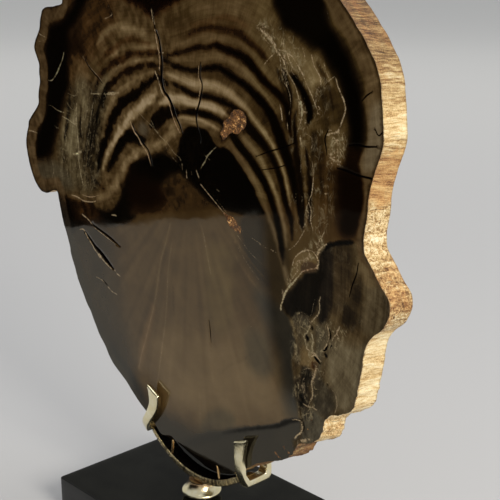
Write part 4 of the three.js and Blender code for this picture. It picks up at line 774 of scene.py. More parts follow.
        # rusty inclusion
        inc = region(P, [(29, 225), (31, 231.6), (35.4, 236.8), (41.6, 239), (46.4, 236.8), (46.8, 230.8), (43.4, 226.6), (36.4, 225.8), (31.4, 222.8)], 1.8, wob * 2.4)
        rimd = region(P, [(28, 224), (30, 232.6), (34.4, 238.2), (41.6, 240.4), (47.8, 238), (48.2, 230), (44, 225), (36.4, 224.4), (31.2, 221.4)], 4.0, wob * 2.4)
        lay(rimd * (0.35 + 0.50 * step(-0.2, 0.3, fbm(x / 6, z / 6, 2, 63))), 0.12, red=0.3)
        rust = np.maximum(rust, inc)
        relief = relief + inc * (0.25 + 0.3 * fbm(x / 2.2, z / 2.2, 3, 61))
        rough = np.maximum(rough, inc * 0.8)
        gold = stroke(P, [(31, 182), (35, 179.6), (39, 177.4), (43.6, 174.6)], [1.0, 2.1, 2.5, 1.7], 1.4, wob2 * 2)
        rust = np.maximum(rust, gold)
        spots = region(P, [(88, 84), (100, 84), (104, 74), (94, 62), (84, 60), (84, 70)], 5)
        rust = np.maximum(rust, spots * np.clip(fbm(x / 2.0, z / 2.0, 3, 81) * 2.4 - 0.5, 0, 1) * 0.8)
        footr = region(P, [(62, 49), (70, 57), (76, 63), (84, 69), (90, 72.5), (88, 66), (84, 60), (72, 51)], 3, wob)
        rust = np.maximum(rust, footr * np.clip(fbm(x / 2.6, z / 2.6, 3, 83) * 2.2 - 0.1, 0, 1) * 0.7)
        # pale crystals along the chipped lower edge
        chip = stroke(P, [(86.6, 67.2), (88.6, 69.4), (91.4, 70.8), (94.6, 72.2), (97.6, 73.8)], 0.8, 1.0, wob2, fade=0.1)
        pale = np.maximum(pale, chip * np.clip(fbm(x / 1.3, z / 1.3, 2, 215) * 1.4 + 0.75, 0, 1))
        # dark line of the ledge
        led = stroke(P, [(122, 185), (120.5, 184.5), (115, 183.2), (109.5, 181.4), (105.9, 180), (103.5, 177)], [0.5, 0.9, 1.1, 1.0, 0.9, 0.5], 0.9, wob2 * 0.5)
        lay(led, 0.0)
        pale = pale * (1 - led)
        # needles in the dark heart
        need = (vnoise(np.degrees(np.arctan2(px, pz)) / 1.6, r / 30, 301) > 0.35) * step(3, 8, r) * (1 - step(14, 34, r))
        T += 0.07 * need * (T < 0.2)
        for pts, hw, depth in CRACKS:
            w = np.array(hw, float)
            c = stroke(P, pts, w, 0.5, wob2 * 0.15, fade=0.0, spacing=1.0)
            T = T * (1 - c)
            pale = pale * (1 - c)
            rust = rust * (1 - c)
            relief = relief + depth * c * 0.22
            crack = np.maximum(crack, c)
    # the lower half's painted reflection zone, where the shader damps the grain and adds mottle
    calm_reflection_zone = np.maximum(calm_reflection_zone, low * (1 - R1))
    return dict(net=net, fib=fib, fu=fu, gloss=gloss, crack=crack, calm_reflection_zone=calm_reflection_zone, tone=T, red=red, olive=olive, grey=grey, rough=rough, pale=pale, green=green, rust=rust, relief=relief, edge=edge)


# ------------------------------------------------------------------ mesh helpers
def make_object(name, verts_mm, faces, material=None, smooth=True):
    me = bpy.data.meshes.new(name)
    me.from_pydata((np.asarray(verts_mm, float) * MM).tolist(), [], [list(map(int, f)) for f in faces])
    me.update()
    me.shade_smooth() if smooth else me.shade_flat()
    ob = bpy.data.objects.new(name, me)
    scene.collection.objects.link(ob)
    if material is not None:
        me.materials.append(material)
    return ob


def set_attr(ob, name, values):
    a = ob.data.attributes.new(name, "FLOAT", "POINT")
    a.data.foreach_set("value", np.asarray(values, np.float32))


def sharpen(ob, degrees):
    ob.data.set_sharp_from_angle(angle=math.radians(degrees))


def triangulate(points, loops):
    """Delaunay triangles of the points inside closed loops (lists of point indices), wound anticlockwise."""
    edges = []
    for loop in loops:
        edges += [(loop[i], loop[(i + 1) % len(loop)]) for i in range(len(loop))]
    res = geometry.delaunay_2d_cdt([Vector((float(a), float(b))) for a, b in points], edges, [], 1, 1e-6)
    co = np.array([(v.x, v.y) for v in res[0]])
    tris = np.array(res[2], int)
    new_of = {}
    for i, olds in enumerate(res[3]):
        for o in olds:
            new_of[o] = i
    a, b, c = co[tris[:, 0]], co[tris[:, 1]], co[tris[:, 2]]
    area = (b[:, 0] - a[:, 0]) * (c[:, 1] - a[:, 1]) - (b[:, 1] - a[:, 1]) * (c[:, 0] - a[:, 0])
    tris[area < 0] = tris[area < 0][:, ::-1]
    return co, tris[np.abs(area) > 1e-9], new_of


# ------------------------------------------------------------------ slice
outline0 = np.array(SLAB_OUTLINE[64:] + SLAB_OUTLINE[:64])  # starts at the hidden foot
front_loop = catmull(outline0, True, 1.25)
nper = len(front_loop)
tan_ = np.roll(front_loop, -1, 0) - np.roll(front_loop, 1, 0)
tan_ /= np.hypot(tan_[:, 0], tan_[:, 1])[:, None]
nor_ = np.c_[tan_[:, 1], -tan_[:, 0]]  # outward for an anticlockwise loop
per = np.arange(nper) * 1.25
ph = 2 * math.pi * np.arange(nper) / nper
wave = 0.28 * fbm(front_loop[:, 0] / 5, front_loop[:, 1] / 5, 3, 7) + 0.12 * fbm(front_loop[:, 0] / 1.6, front_loop[:, 1] / 1.6, 2, 8)
ragged = step(58, 66, front_loop[:, 0]) * step(50, 54, front_loop[:, 1]) * (1 - step(128, 138, front_loop[:, 1]))
wave = wave + 0.62 * ragged * fbm(per / 2.1, per * 0 + 9, 2, 527)
foot_quiet = 1 - 0.75 * ((front_loop[:, 1] < 48) & (np.abs(front_loop[:, 0]) < 55))
front_loop = front_loop + nor_ * (wave * foot_quiet)[:, None]
EDGE_LOOP = np.vstack([front_loop[::3], front_loop[:1]])


def rear_of(loop):
    x, z = loop[:, 0], loop[:, 1]
    low = 1 - step(88, 112, z)
    drop = np.where((x > -118) & (x < 132), along(SLAB_DROP, np.clip(x, -118, 132))[:, 0], 0) * low
    return np.c_[x + SLAB_FLARE * step(60, 125, x), z - drop]


def hexgrid(loop, h, inset, jitter, seed):
    lo, hi = loop.min(0), loop.max(0)
    rows = []
    for j, zz in enumerate(np.arange(lo[1], hi[1], h * 0.866)):
        xs = np.arange(lo[0] + (j % 2) * h / 2, hi[0], h)
        rows.append(np.c_[xs, np.full(len(xs), zz)])
    g = np.vstack(rows)
    g = g + jitter * h * np.c_[hash2(np.arange(len(g)), np.arange(len(g)) * 0 + 1, seed) - 0.5, hash2(np.arange(len(g)), np.arange(len(g)) * 0 + 2, seed) - 0.5]
    g = g[inside(g, loop)]
    d, _, _ = poly_dist(g, np.vstack([loop[::2], loop[:1]]))
    return g[d > inset]


def busy(q):
    """Where the cut face carries fine detail."""
    a, b = q[:, 0], q[:, 1]
    return (((a > 52) & (a < 132) & (b > 58)) | ((a > -128) & (a < -68) & (b > 168) & (b < 248)) | ((a > -70) & (a < 52) & (b > 196) & (b < 262)))


coarse, dense = hexgrid(front_loop, 1.55, 1.0, 0.25, 11), hexgrid(front_loop, 0.95, 0.8, 0.25, 13)
hexes = np.vstack([coarse[~busy(coarse)], dense[busy(dense)]])
keep = np.ones(len(hexes), bool)
extra = []
for pts, hw, depth in CRACKS:
    line = catmull(np.c_[np.array(pts, float), np.interp(np.linspace(0, 1, len(pts)), np.linspace(0, 1, len(hw)), hw)], False, 0.9)
    t = np.gradient(line[:, :2], axis=0)
    t /= np.hypot(t[:, 0], t[:, 1])[:, None] + 1e-9
    nn = np.c_[t[:, 1], -t[:, 0]]
    for k, off in enumerate([0, -1, 1, -1, 1]):
        w = line[:, 2] * (1 if k in (1, 2) else 1) + (0.35 if k in (3, 4) else -0.05)
        extra.append(line[:, :2] + nn * (off * (np.maximum(w, 0.1) if k else 0 * w))[:, None])
    idx = near(hexes, line, 3)
    d, tt, _ = poly_dist(hexes[idx], line)
    keep[idx[d < np.interp(tt, np.linspace(0, 1, len(line)), line[:, 2]) + 0.95]] = False
for pts, hw, strength, gr in PALE:
    line = catmull(pts, False, 1.0)
    t = np.gradient(line[:, :2], axis=0)
    t /= np.hypot(t[:, 0], t[:, 1])[:, None] + 1e-9
    nn = np.c_[t[:, 1], -t[:, 0]]
    for off in (0, -(hw + 0.3), hw + 0.3):
        extra.append(line[:, :2] + nn * off)
    idx = near(hexes, line, 3)
    d, tt, _ = poly_dist(hexes[idx], line)
    keep[idx[d < hw + 0.75]] = False
extra = np.vstack(extra)
extra = extra[inside(extra, front_loop)]
d_e, _, _ = poly_dist(extra, np.vstack([front_loop[::2], front_loop[:1]]))
extra = extra[d_e > 0.7]
# drop extra points that crowd one another
key = np.round(extra / 0.34).astype(int)
_, first = np.unique(key, axis=0, return_index=True)
extra = extra[np.sort(first)]
front_pts = np.vstack([front_loop, hexes[keep], extra])
co_f, tri_f, map_f = triangulate(front_pts, [list(range(nper))])
print("front", len(co_f), len(tri_f))

rear_loop = rear_of(front_loop)
rear_in = hexgrid(rear_loop, 2.1, 1.5, 0.25, 12)
co_b, tri_b, map_b = triangulate(np.vstack([rear_loop, rear_in]), [list(range(nper))])
print("back", len(co_b), len(tri_b))

F = paint(co_f)
B = paint(co_b, back=True)

verts, attrs = [], {k: [] for k in ("tone", "red", "olive", "grey", "rough", "pale", "green", "rust", "per", "dep", "ring", "cx", "cy", "under", "edge", "crack", "calm_reflection_zone", "fib", "fu", "net", "gloss", "lum", "hue", "gran")}
y_front = -SLAB_T / 2
rel = F["relief"] * step(0.0, 2.0, F["edge"])
y = y_front + rel + 0.02 * fbm(co_f[:, 0] / 14, co_f[:, 1] / 14, 3, 401)
verts.append(np.c_[co_f[:, 0], y, co_f[:, 1] + BASE_Z])


def ring_coord(P):
    px, pz = P[:, 0] - PITH[0], P[:, 1] - PITH[1]
    r = np.hypot(px, pz)
    phi = np.arctan2(px, pz)
    # distances of the main rings from the pith by direction, from the ring lines above
    knots = {"d1": [], "d2": [], "d3": [], "d4": []}
    for name, pts, hw, tone, rd in RINGS:
        base_name = {"d1": "d1", "d1m": "d1", "d2": "d2", "d2l": "d2", "d3": "d3", "d3l": "d3", "d4": "d4", "d4l": "d4"}.get(name)
        if base_name:
            for q in pts:
                knots[base_name].append((math.atan2(q[0] - PITH[0], q[1] - PITH[1]), math.hypot(q[0] - PITH[0], q[1] - PITH[1])))
    loop = EDGE_LOOP - np.array(PITH)
    lp = np.arctan2(loop[:, 0], loop[:, 1])
    lr = np.hypot(loop[:, 0], loop[:, 1])
    o = np.argsort(lp)
    angs = np.linspace(-math.pi, math.pi, 361)
    r_out = np.interp(angs, lp[o], lr[o], period=2 * math.pi)
    r_out = np.convolve(np.r_[r_out[-30:], r_out, r_out[:30]], np.ones(41) / 41, "same")[30:-30]
    table = [np.zeros(361)]
    for k, share in (("d1", 0.42), ("d2", 0.52), ("d3", 0.62), ("d4", 0.72)):
        pts = sorted(knots[k])
        a = np.array([p[0] for p in pts])
        rr = np.array([p[1] for p in pts])
        base_r = share * r_out
        inside_a = (angs > a[0] + 0.05) & (angs < a[-1] - 0.05)
        v = np.interp(angs, a, rr)
        lo_blend = step(a[0] - 0.9, a[0], angs) * (1 - step(a[-1], a[-1] + 0.9, angs))
        v = v * lo_blend + base_r * (1 - lo_blend)
        v = np.convolve(np.r_[v[-8:], v, v[:8]], np.ones(9) / 9, "same")[8:-8]
        table.append(np.maximum(v, table[-1] + 4))
    table.append(np.maximum(r_out, table[-1] + 8))
    marks = [0, 36, 46, 60, 71, 105]
    out = np.zeros(len(P))
    cols = [np.interp(phi, angs, row) for row in table]
    for i in range(5):
        seg = (r >= cols[i]) & ((r < cols[i + 1]) | (i == 4))
        out[seg] = marks[i] + (marks[i + 1] - marks[i]) * ((r - cols[i]) / (cols[i + 1] - cols[i]))[seg]
    return out, np.cos(phi), np.sin(phi)


def add_face_attrs(Fd, co, dep):
    n = len(co)
    for k in ("tone", "red", "olive", "grey", "rough", "pale", "green", "rust", "edge", "crack", "calm_reflection_zone", "fib", "fu", "net", "gloss"):
        attrs[k].append(Fd[k])
    for k in ("lum", "hue", "gran"):
        attrs[k].append(np.zeros(n))
    rc, cx, cy = ring_coord(co)
    attrs["ring"].append(rc)
    attrs["cx"].append(cx)
    attrs["cy"].append(cy)
    attrs["per"].append(np.zeros(n))
    attrs["dep"].append(np.full(n, dep))
    attrs["under"].append(np.zeros(n))


add_face_attrs(F, co_f, 0.0)

# side rings
RINGS_Y = [0.02, 0.055, 0.12, 0.19, 0.27, 0.35, 0.43, 0.51, 0.59, 0.67, 0.75, 0.83, 0.90, 0.955, 0.985]
rings = [np.array([map_f[i] for i in range(nper)])]
offset = len(co_f)
tanr = np.roll(rear_loop, -1, 0) - np.roll(rear_loop, 1, 0)
# painted shade: the rim's downward-facing stretch near the foot, under the slab, is marked to be painted near-black
# with almost no sheen
underside_shade_mask = step(0.55, 0.9, -nor_[:, 1]) * (1 - step(36, 44, np.abs(front_loop[:, 0] - 2))) * (front_loop[:, 1] < 60)
# how light, how orange and how granular the rim is along its length
right_part = step(30, 60, front_loop[:, 0])
wander = fbm(per / 16, per * 0 + 2, 3, 521)
lum_p = np.interp(front_loop[:, 1] + 2 * wander, [50, 66, 74, 100, 118, 130, 140, 146, 152, 158, 165, 172, 178, 190, 198, 206, 215, 225, 231, 236, 246, 252, 262, 275, 290, 310, 335],
                  [0.02, 0.06, 0.84, 0.88, 0.84, 0.90, 0.80, 0.60, 0.56, 0.52, 0.48, 0.54, 0.72, 0.84, 0.76, 0.58, 0.49, 0.45, 0.62, 0.86, 0.84, 0.64, 0.46, 0.22, 0.05, 0.04, 0.15])
lum_p = lum_p * right_part + (1 - right_part) * np.clip(0.46 + 0.5 * wander, 0.15, 0.9)
hue_p = np.interp(front_loop[:, 1] + 2 * wander, [50, 66, 76, 90, 96, 140, 146, 158, 172, 178, 200, 206, 225, 231, 240, 262, 290], [0.75, 0.6, 0.40, 0.4, 0.15, 0.1, 0.30, 0.62, 0.58, 0.3, 0.25, 0.7, 0.85, 0.4, 0.05, 0.3, 0.5])
hue_p = hue_p * right_part + (1 - right_part) * np.clip(0.3 + 0.9 * fbm(per / 22, per * 0 + 5, 3, 523), 0, 0.9)
gran_p = np.interp(front_loop[:, 1], [50, 70, 76, 89, 94, 140, 146, 160, 175, 190, 200, 206, 230, 300], [0.4, 0.4, 0.62, 0.62, 0.3, 0.2, 1.0, 0.8, 0.6, 1.0, 0.7, 0.2, 0.1, 0.0])
gran_p = gran_p * right_part + (1 - right_part) * np.clip(0.4 + 0.9 * fbm(per / 26, per * 0 + 8, 3, 525), 0, 1)
for s in RINGS_Y:
    p = front_loop * (1 - s) + rear_loop * s
    yy = -SLAB_T / 2 + SLAB_T * s
    fade = min(1.0, s / 0.12, (1 - s) / 0.08)
    stri = (0.30 * fbm(per / 2.3, s * 1.2 + per * 0 + 3, 3, 501) + 0.34 * fbm(per / 7.5, s * 2.2 + per * 0, 3, 503)
            + 0.16 * fbm(per / 1.25, s * 5 + per * 0, 2, 505) + 0.5 * fbm(per / 30, s * 1.5 + per * 0, 2, 507))
    quiet = np.where((np.abs(front_loop[:, 0]) < 56) & (front_loop[:, 1] < 60), 0.35, 1.0)
    p = p + nor_ * ((stri - 0.25) * fade * quiet)[:, None]
    verts.append(np.c_[p[:, 0], np.full(nper, yy), p[:, 1] + BASE_Z])
    rings.append(offset + np.arange(nper))
    offset += nper
    for k in ("tone", "red", "olive", "grey", "rough", "pale", "green", "rust", "ring", "edge", "crack", "calm_reflection_zone", "fib", "fu", "net", "gloss"):
        attrs[k].append(np.zeros(nper))
    attrs["lum"].append(lum_p)
    attrs["hue"].append(hue_p)
    attrs["gran"].append(gran_p)
    attrs["cx"].append(np.ones(nper))
    attrs["cy"].append(np.zeros(nper))
    attrs["per"].append(per)
    attrs["dep"].append(np.full(nper, s))
    attrs["under"].append(underside_shade_mask)
saw = 0.05 * fbm(co_b[:, 0] / 30, co_b[:, 1] / 1.4, 2, 601) + 0.05 * fbm(co_b[:, 0] / 6, co_b[:, 1] / 6, 3, 603)
yb = SLAB_T / 2 - np.abs(saw) * step(0, 2, B["edge"])
verts.append(np.c_[co_b[:, 0], yb, co_b[:, 1] + BASE_Z])
rings.append(np.array([offset + map_b[i] for i in range(nper)]))
add_face_attrs(B, co_b, 1.0)

faces = [tuple(t) for t in tri_f]
n_front = len(faces)
for a, b in zip(rings[:-1], rings[1:]):
    nxt_a, nxt_b = np.roll(a, -1), np.roll(b, -1)
    faces += [tuple(q) for q in np.c_[a, b, nxt_b, nxt_a]]
n_side = len(faces) - n_front
faces += [(t[0] + offset, t[2] + offset, t[1] + offset) for t in tri_b]
V = np.vstack(verts)
attrs = {k: np.concatenate(v) for k, v in attrs.items()}
# the first and last rings share vertices with the faces: give those the side's coordinates
front_ids, back_ids = rings[0], rings[-1]
for ids, s in ((front_ids, 0.0), (back_ids, 1.0)):
    attrs["per"][ids] = per
    attrs["dep"][ids] = s
    attrs["under"][ids] = underside_shade_mask
    attrs["lum"][ids] = lum_p
    attrs["hue"][ids] = hue_p
    attrs["gran"][ids] = gran_p


# ------------------------------------------------------------------ materials
class Nodes:
    """A small hand for node trees."""

    def __init__(self, tree):
        self.t = tree
        tree.nodes.clear()

    def add(self, kind, **props):
        n = self.t.nodes.new(kind)
        for k, v in props.items():
            setattr(n, k, v)
        return n

    def put(self, socket, value):
        if isinstance(value, bpy.types.NodeSocket):
            self.t.links.new(value, socket)
        elif value is not None:
            if hasattr(socket.default_value, "__len__") and not hasattr(value, "__len__"):
                value = [value] * len(socket.default_value)
            if hasattr(socket.default_value, "__len__") and len(socket.default_value) == 4 and len(value) == 3:
                value = (*value, 1)
            socket.default_value = value

    def math(self, op, a, b=None, c=None, clamp=False):
        n = self.add("ShaderNodeMath", operation=op, use_clamp=clamp)
        for s, v in zip(n.inputs, (a, b, c)):
            self.put(s, v)
        return n.outputs[0]

    def mul(self, a, b):
        return self.math("MULTIPLY", a, b)

    def plus(self, a, b):
        return self.math("ADD", a, b)

    def attr(self, name):
        return self.add("ShaderNodeAttribute", attribute_name=name).outputs["Fac"]

    def vec(self, x, y, z):
        n = self.add("ShaderNodeCombineXYZ")
        for s, v in zip(n.inputs, (x, y, z)):
            self.put(s, v)
        return n.outputs[0]

    def xyz(self, v):
        n = self.add("ShaderNodeSeparateXYZ")
        self.put(n.inputs[0], v)
        return n.outputs

    def noise(self, vector, scale=1.0, detail=3.0, rough=0.55, distortion=0.0, lac=2.0):
        n = self.add("ShaderNodeTexNoise")
        self.put(n.inputs["Vector"], vector)
        self.put(n.inputs["Scale"], scale)
        self.put(n.inputs["Detail"], detail)
        self.put(n.inputs["Roughness"], rough)
        self.put(n.inputs["Lacunarity"], lac)
        self.put(n.inputs["Distortion"], distortion)
        return n.outputs["Fac"]

    def span(self, v, a, b, c=0.0, d=1.0, kind="SMOOTHSTEP"):
        n = self.add("ShaderNodeMapRange", interpolation_type=kind, clamp=True)
        for s, val in zip(n.inputs, (v, a, b, c, d)):
            self.put(s, val)
        return n.outputs[0]

    def mix(self, fac, a, b, kind="MIX"):
        n = self.add("ShaderNodeMix", data_type="RGBA", blend_type=kind, clamp_factor=True)
        self.put(n.inputs[0], fac)
        self.put(n.inputs[6], a)
        self.put(n.inputs[7], b)
        return n.outputs[2]

    def ramp(self, fac, stops, kind="LINEAR"):
        n = self.add("ShaderNodeValToRGB")
        cr = n.color_ramp
        cr.interpolation = kind
        while len(cr.elements) < len(stops):
            cr.elements.new(0.5)
        for e, (p, c) in zip(cr.elements, stops):
            e.position = p
            e.color = (*c, 1)
        self.put(n.inputs[0], fac)
        return n.outputs[0]

    def bump(self, height, distance, strength=1.0):
        n = self.add("ShaderNodeBump")
        self.put(n.inputs["Strength"], strength)
        self.put(n.inputs["Distance"], distance)
        self.put(n.inputs["Height"], height)
        return n.outputs[0]


def srgb(r, g, b, k=1.0):
    return tuple(k * ((c / 255 / 12.92) if c <= 10.3 else ((c / 255 + 0.055) / 1.055) ** 2.4) for c in (r, g, b))


def new_material(name):
    m = bpy.data.materials.new(name)
    m.use_nodes = True
    g = Nodes(m.node_tree)
    out = g.add("ShaderNodeOutputMaterial")
    p = g.add("ShaderNodeBsdfPrincipled")
    m.node_tree.links.new(p.outputs[0], out.inputs[0])
    return m, g, p


def pos_mm(g):
    tc = g.add("ShaderNodeTexCoord")
    s = g.add("ShaderNodeVectorMath", operation="SCALE")
    g.put(s.inputs[0], tc.outputs["Object"])
    g.put(s.inputs["Scale"], 1000.0)
    return s.outputs[0]


FACE_GAIN = 2.1  # the face stands away from the key light


def face_material(name, polished=True):
    m, g, p = new_material(name)
    pos = pos_mm(g)
    x, y, z = g.xyz(pos)
    tone, ringc, cx, cy = g.attr("tone"), g.attr("ring"), g.attr("cx"), g.attr("cy")
    # fine growth lines along the rings, and rays across them
    ringv = g.vec(g.mul(ringc, 1.0), g.mul(cx, 5.0), g.mul(cy, 5.0))
    lines = g.noise(ringv, 0.75, 4.0, 0.62, 0.5)
    lines2 = g.noise(g.vec(g.mul(ringc, 1.0), g.mul(cx, 9.0), g.mul(cy, 9.0)), 0.28, 3.0, 0.5, 0.4)
    rays = g.noise(g.vec(g.mul(ringc, 0.11), g.mul(cx, 60.0), g.mul(cy, 60.0)), 1.0, 3.0, 0.6, 0.3)
    mott = g.noise(pos, 0.11, 4.0, 0.55)
    fine = g.noise(pos, 1.6, 3.0, 0.6)
    # in the lower half's painted reflection zone the grain is damped and a soft mottle is painted
    live = g.math("SUBTRACT", 1.0, g.mul(g.attr("calm_reflection_zone"), 0.86))
    tex = g.plus(g.mul(g.plus(lines, -0.5), 0.24), g.mul(g.plus(lines2, -0.5), 0.16))
    tex = g.plus(tex, g.mul(g.plus(rays, -0.5), 0.20))
    tex = g.plus(tex, g.mul(g.plus(fine, -0.5), 0.10))
    t = g.plus(tone, g.mul(tex, live))
    t = g.plus(t, g.mul(g.mul(g.plus(mott, -0.5), 0.24), g.span(g.attr("calm_reflection_zone"), 0.0, 1.0, 1.0, 0.45, "LINEAR")))
    fibre = g.noise(g.vec(g.attr("fu"), 0.0, g.mul(z, 0.09)), 0.85, 4.0, 0.65, 0.2)
    t = g.plus(t, g.mul(g.mul(g.plus(fibre, -0.5), 0.55), g.attr("fib")))
    hold = g.span(tone, 0.02, 0.3)  # black stays black
    t = g.plus(g.mul(t, hold), g.mul(tone, g.math("SUBTRACT", 1.0, hold)))
    k = FACE_GAIN
    col = g.ramp(t, [(0.0, srgb(3, 2, 1, k)), (0.12, srgb(12, 7, 3, k)), (0.25, srgb(28, 19, 9, k)), (0.40, srgb(50, 36, 17, k)),
                     (0.55, srgb(72, 56, 33, k)), (0.70, srgb(92, 75, 49, k)), (0.85, srgb(116, 98, 69, k)), (1.0, srgb(140, 122, 94, k))])
    warm = g.mix(g.mul(g.attr("red"), 0.75), col, g.mix(1.0, col, (1.25, 0.62, 0.40), "MULTIPLY"))
    oliv = g.mix(g.mul(g.attr("olive"), 0.7), warm, g.mix(1.0, warm, (0.93, 1.03, 0.88), "MULTIPLY"))
    crk = g.span(g.attr("crack"), 0.25, 0.75)
    lum = g.add("ShaderNodeRGBToBW")
    g.put(lum.inputs[0], oliv)
    cool = g.vec(g.mul(lum.outputs[0], 0.96), g.mul(lum.outputs[0], 1.02), g.mul(lum.outputs[0], 0.84))
    base = g.mix(g.attr("grey"), oliv, cool)
    # pale veins and crystals
    pale = g.attr("pale")
    pn = g.noise(pos, 1.1, 4.0, 0.65)
    pc = g.mul(g.span(g.plus(pale, g.mul(g.plus(pn, -0.5), 0.95)), 0.22, 0.80), g.span(pale, 0.05, 0.2))
    green = g.attr("green")
    vein = g.mix(g.span(green, 0.0, 1.0), g.mix(g.span(g.mul(green, -1.0), 0.0, 0.6), srgb(156, 138, 110, k), srgb(166, 118, 88, k)), srgb(132, 136, 108, k))
    vein = g.mix(g.span(pn, 0.35, 0.7), g.mix(1.0, vein, (0.55, 0.5, 0.42), "MULTIPLY"), vein)
    vein = g.mix(g.span(pale, 1.05, 1.28), vein, srgb(240, 234, 176, k))
    base = g.mix(g.mul(pc, 0.88), base, vein)
    fuz = g.plus(g.attr("fu"), g.mul(g.plus(g.noise(pos, 0.16, 2.0, 0.5), -0.5), 7.0))
    ridge = g.math("ABSOLUTE", g.plus(g.noise(g.vec(fuz, 0.0, g.mul(z, 0.42)), 0.24, 1.0, 0.45, 0.8), -0.5))
    ridge2 = g.math("ABSOLUTE", g.plus(g.noise(g.vec(fuz, 7.0, g.mul(z, 0.22)), 0.34, 1.0, 0.45, 0.4), -0.5))
    web = g.math("MAXIMUM", g.span(ridge, 0.010, 0.045, 1.0, 0.0), g.mul(g.span(ridge2, 0.010, 0.045, 1.0, 0.0), 0.7))
    web = g.mul(g.mul(web, g.span(g.noise(pos, 0.22, 2.0, 0.5), 0.42, 0.62, 0.0, 1.0)), g.mul(g.attr("net"), g.span(tone, 0.14, 0.32)))
    base = g.mix(g.mul(web, 0.72), base, g.mix(g.span(pn, 0.3, 0.7), srgb(84, 74, 52, k), srgb(140, 127, 97, k)))
    rust = g.attr("rust")
    rn = g.noise(pos, 0.9, 4.0, 0.7)
    rustc = g.ramp(g.plus(g.noise(pos, 0.58, 4.0, 0.7), g.mul(g.plus(fine, -0.5), 0.45)), [(0.34, srgb(28, 14, 6, k)), (0.44, srgb(62, 36, 16, k)), (0.53, srgb(94, 60, 28, k)), (0.61, srgb(128, 86, 44, k)), (0.70, srgb(220, 178, 116, k))])
    base = g.mix(g.span(g.plus(rust, g.mul(g.plus(rn, -0.5), 0.4)), 0.35, 0.65), base, rustc)
    rough = g.attr("rough")
    if polished:
        g.put(p.inputs["Base Color"], g.mix(crk, base, (0.0015, 0.001, 0.001)))
        g.put(p.inputs["Specular IOR Level"], g.mul(g.mul(g.attr("gloss"), 0.42), g.span(g.attr("crack"), 0.0, 0.25, 1.0, 0.0)))
        rr = g.plus(g.plus(g.mul(crk, 0.9), g.mul(rough, 0.55)), g.span(g.noise(pos, 0.05, 3.0, 0.6), 0.3, 0.8, 0.035, 0.075))
        g.put(p.inputs["Roughness"], rr)
        h = g.plus(g.mul(g.noise(pos, 1.3, 4.0, 0.65), g.plus(g.mul(rough, 1.0), 0.0)), g.mul(g.noise(pos, 0.06, 2.0, 0.5), 0.10))
        g.put(p.inputs["Normal"], g.bump(h, 0.0005, 0.9))
        g.put(p.inputs["IOR"], 1.58)
        g.put(p.inputs["Specular Tint"], (1.0, 0.91, 0.67, 1))
    else:
        saw = g.noise(g.vec(g.mul(x, 0.04), 0.0, g.mul(z, 1.0)), 0.9, 3.0, 0.6)
        matt = g.mix(0.42, base, g.mix(g.span(saw, 0.3, 0.7), srgb(108, 86, 58, 1.0), srgb(146, 122, 88, 1.0)))
        g.put(p.inputs["Base Color"], matt)
        g.put(p.inputs["Roughness"], g.span(saw, 0.2, 0.8, 0.55, 0.8))
        h = g.plus(g.mul(saw, 0.5), g.mul(g.noise(pos, 0.8, 4.0, 0.6), 0.6))
        g.put(p.inputs["Normal"], g.bump(h, 0.0004, 0.9))
    return m


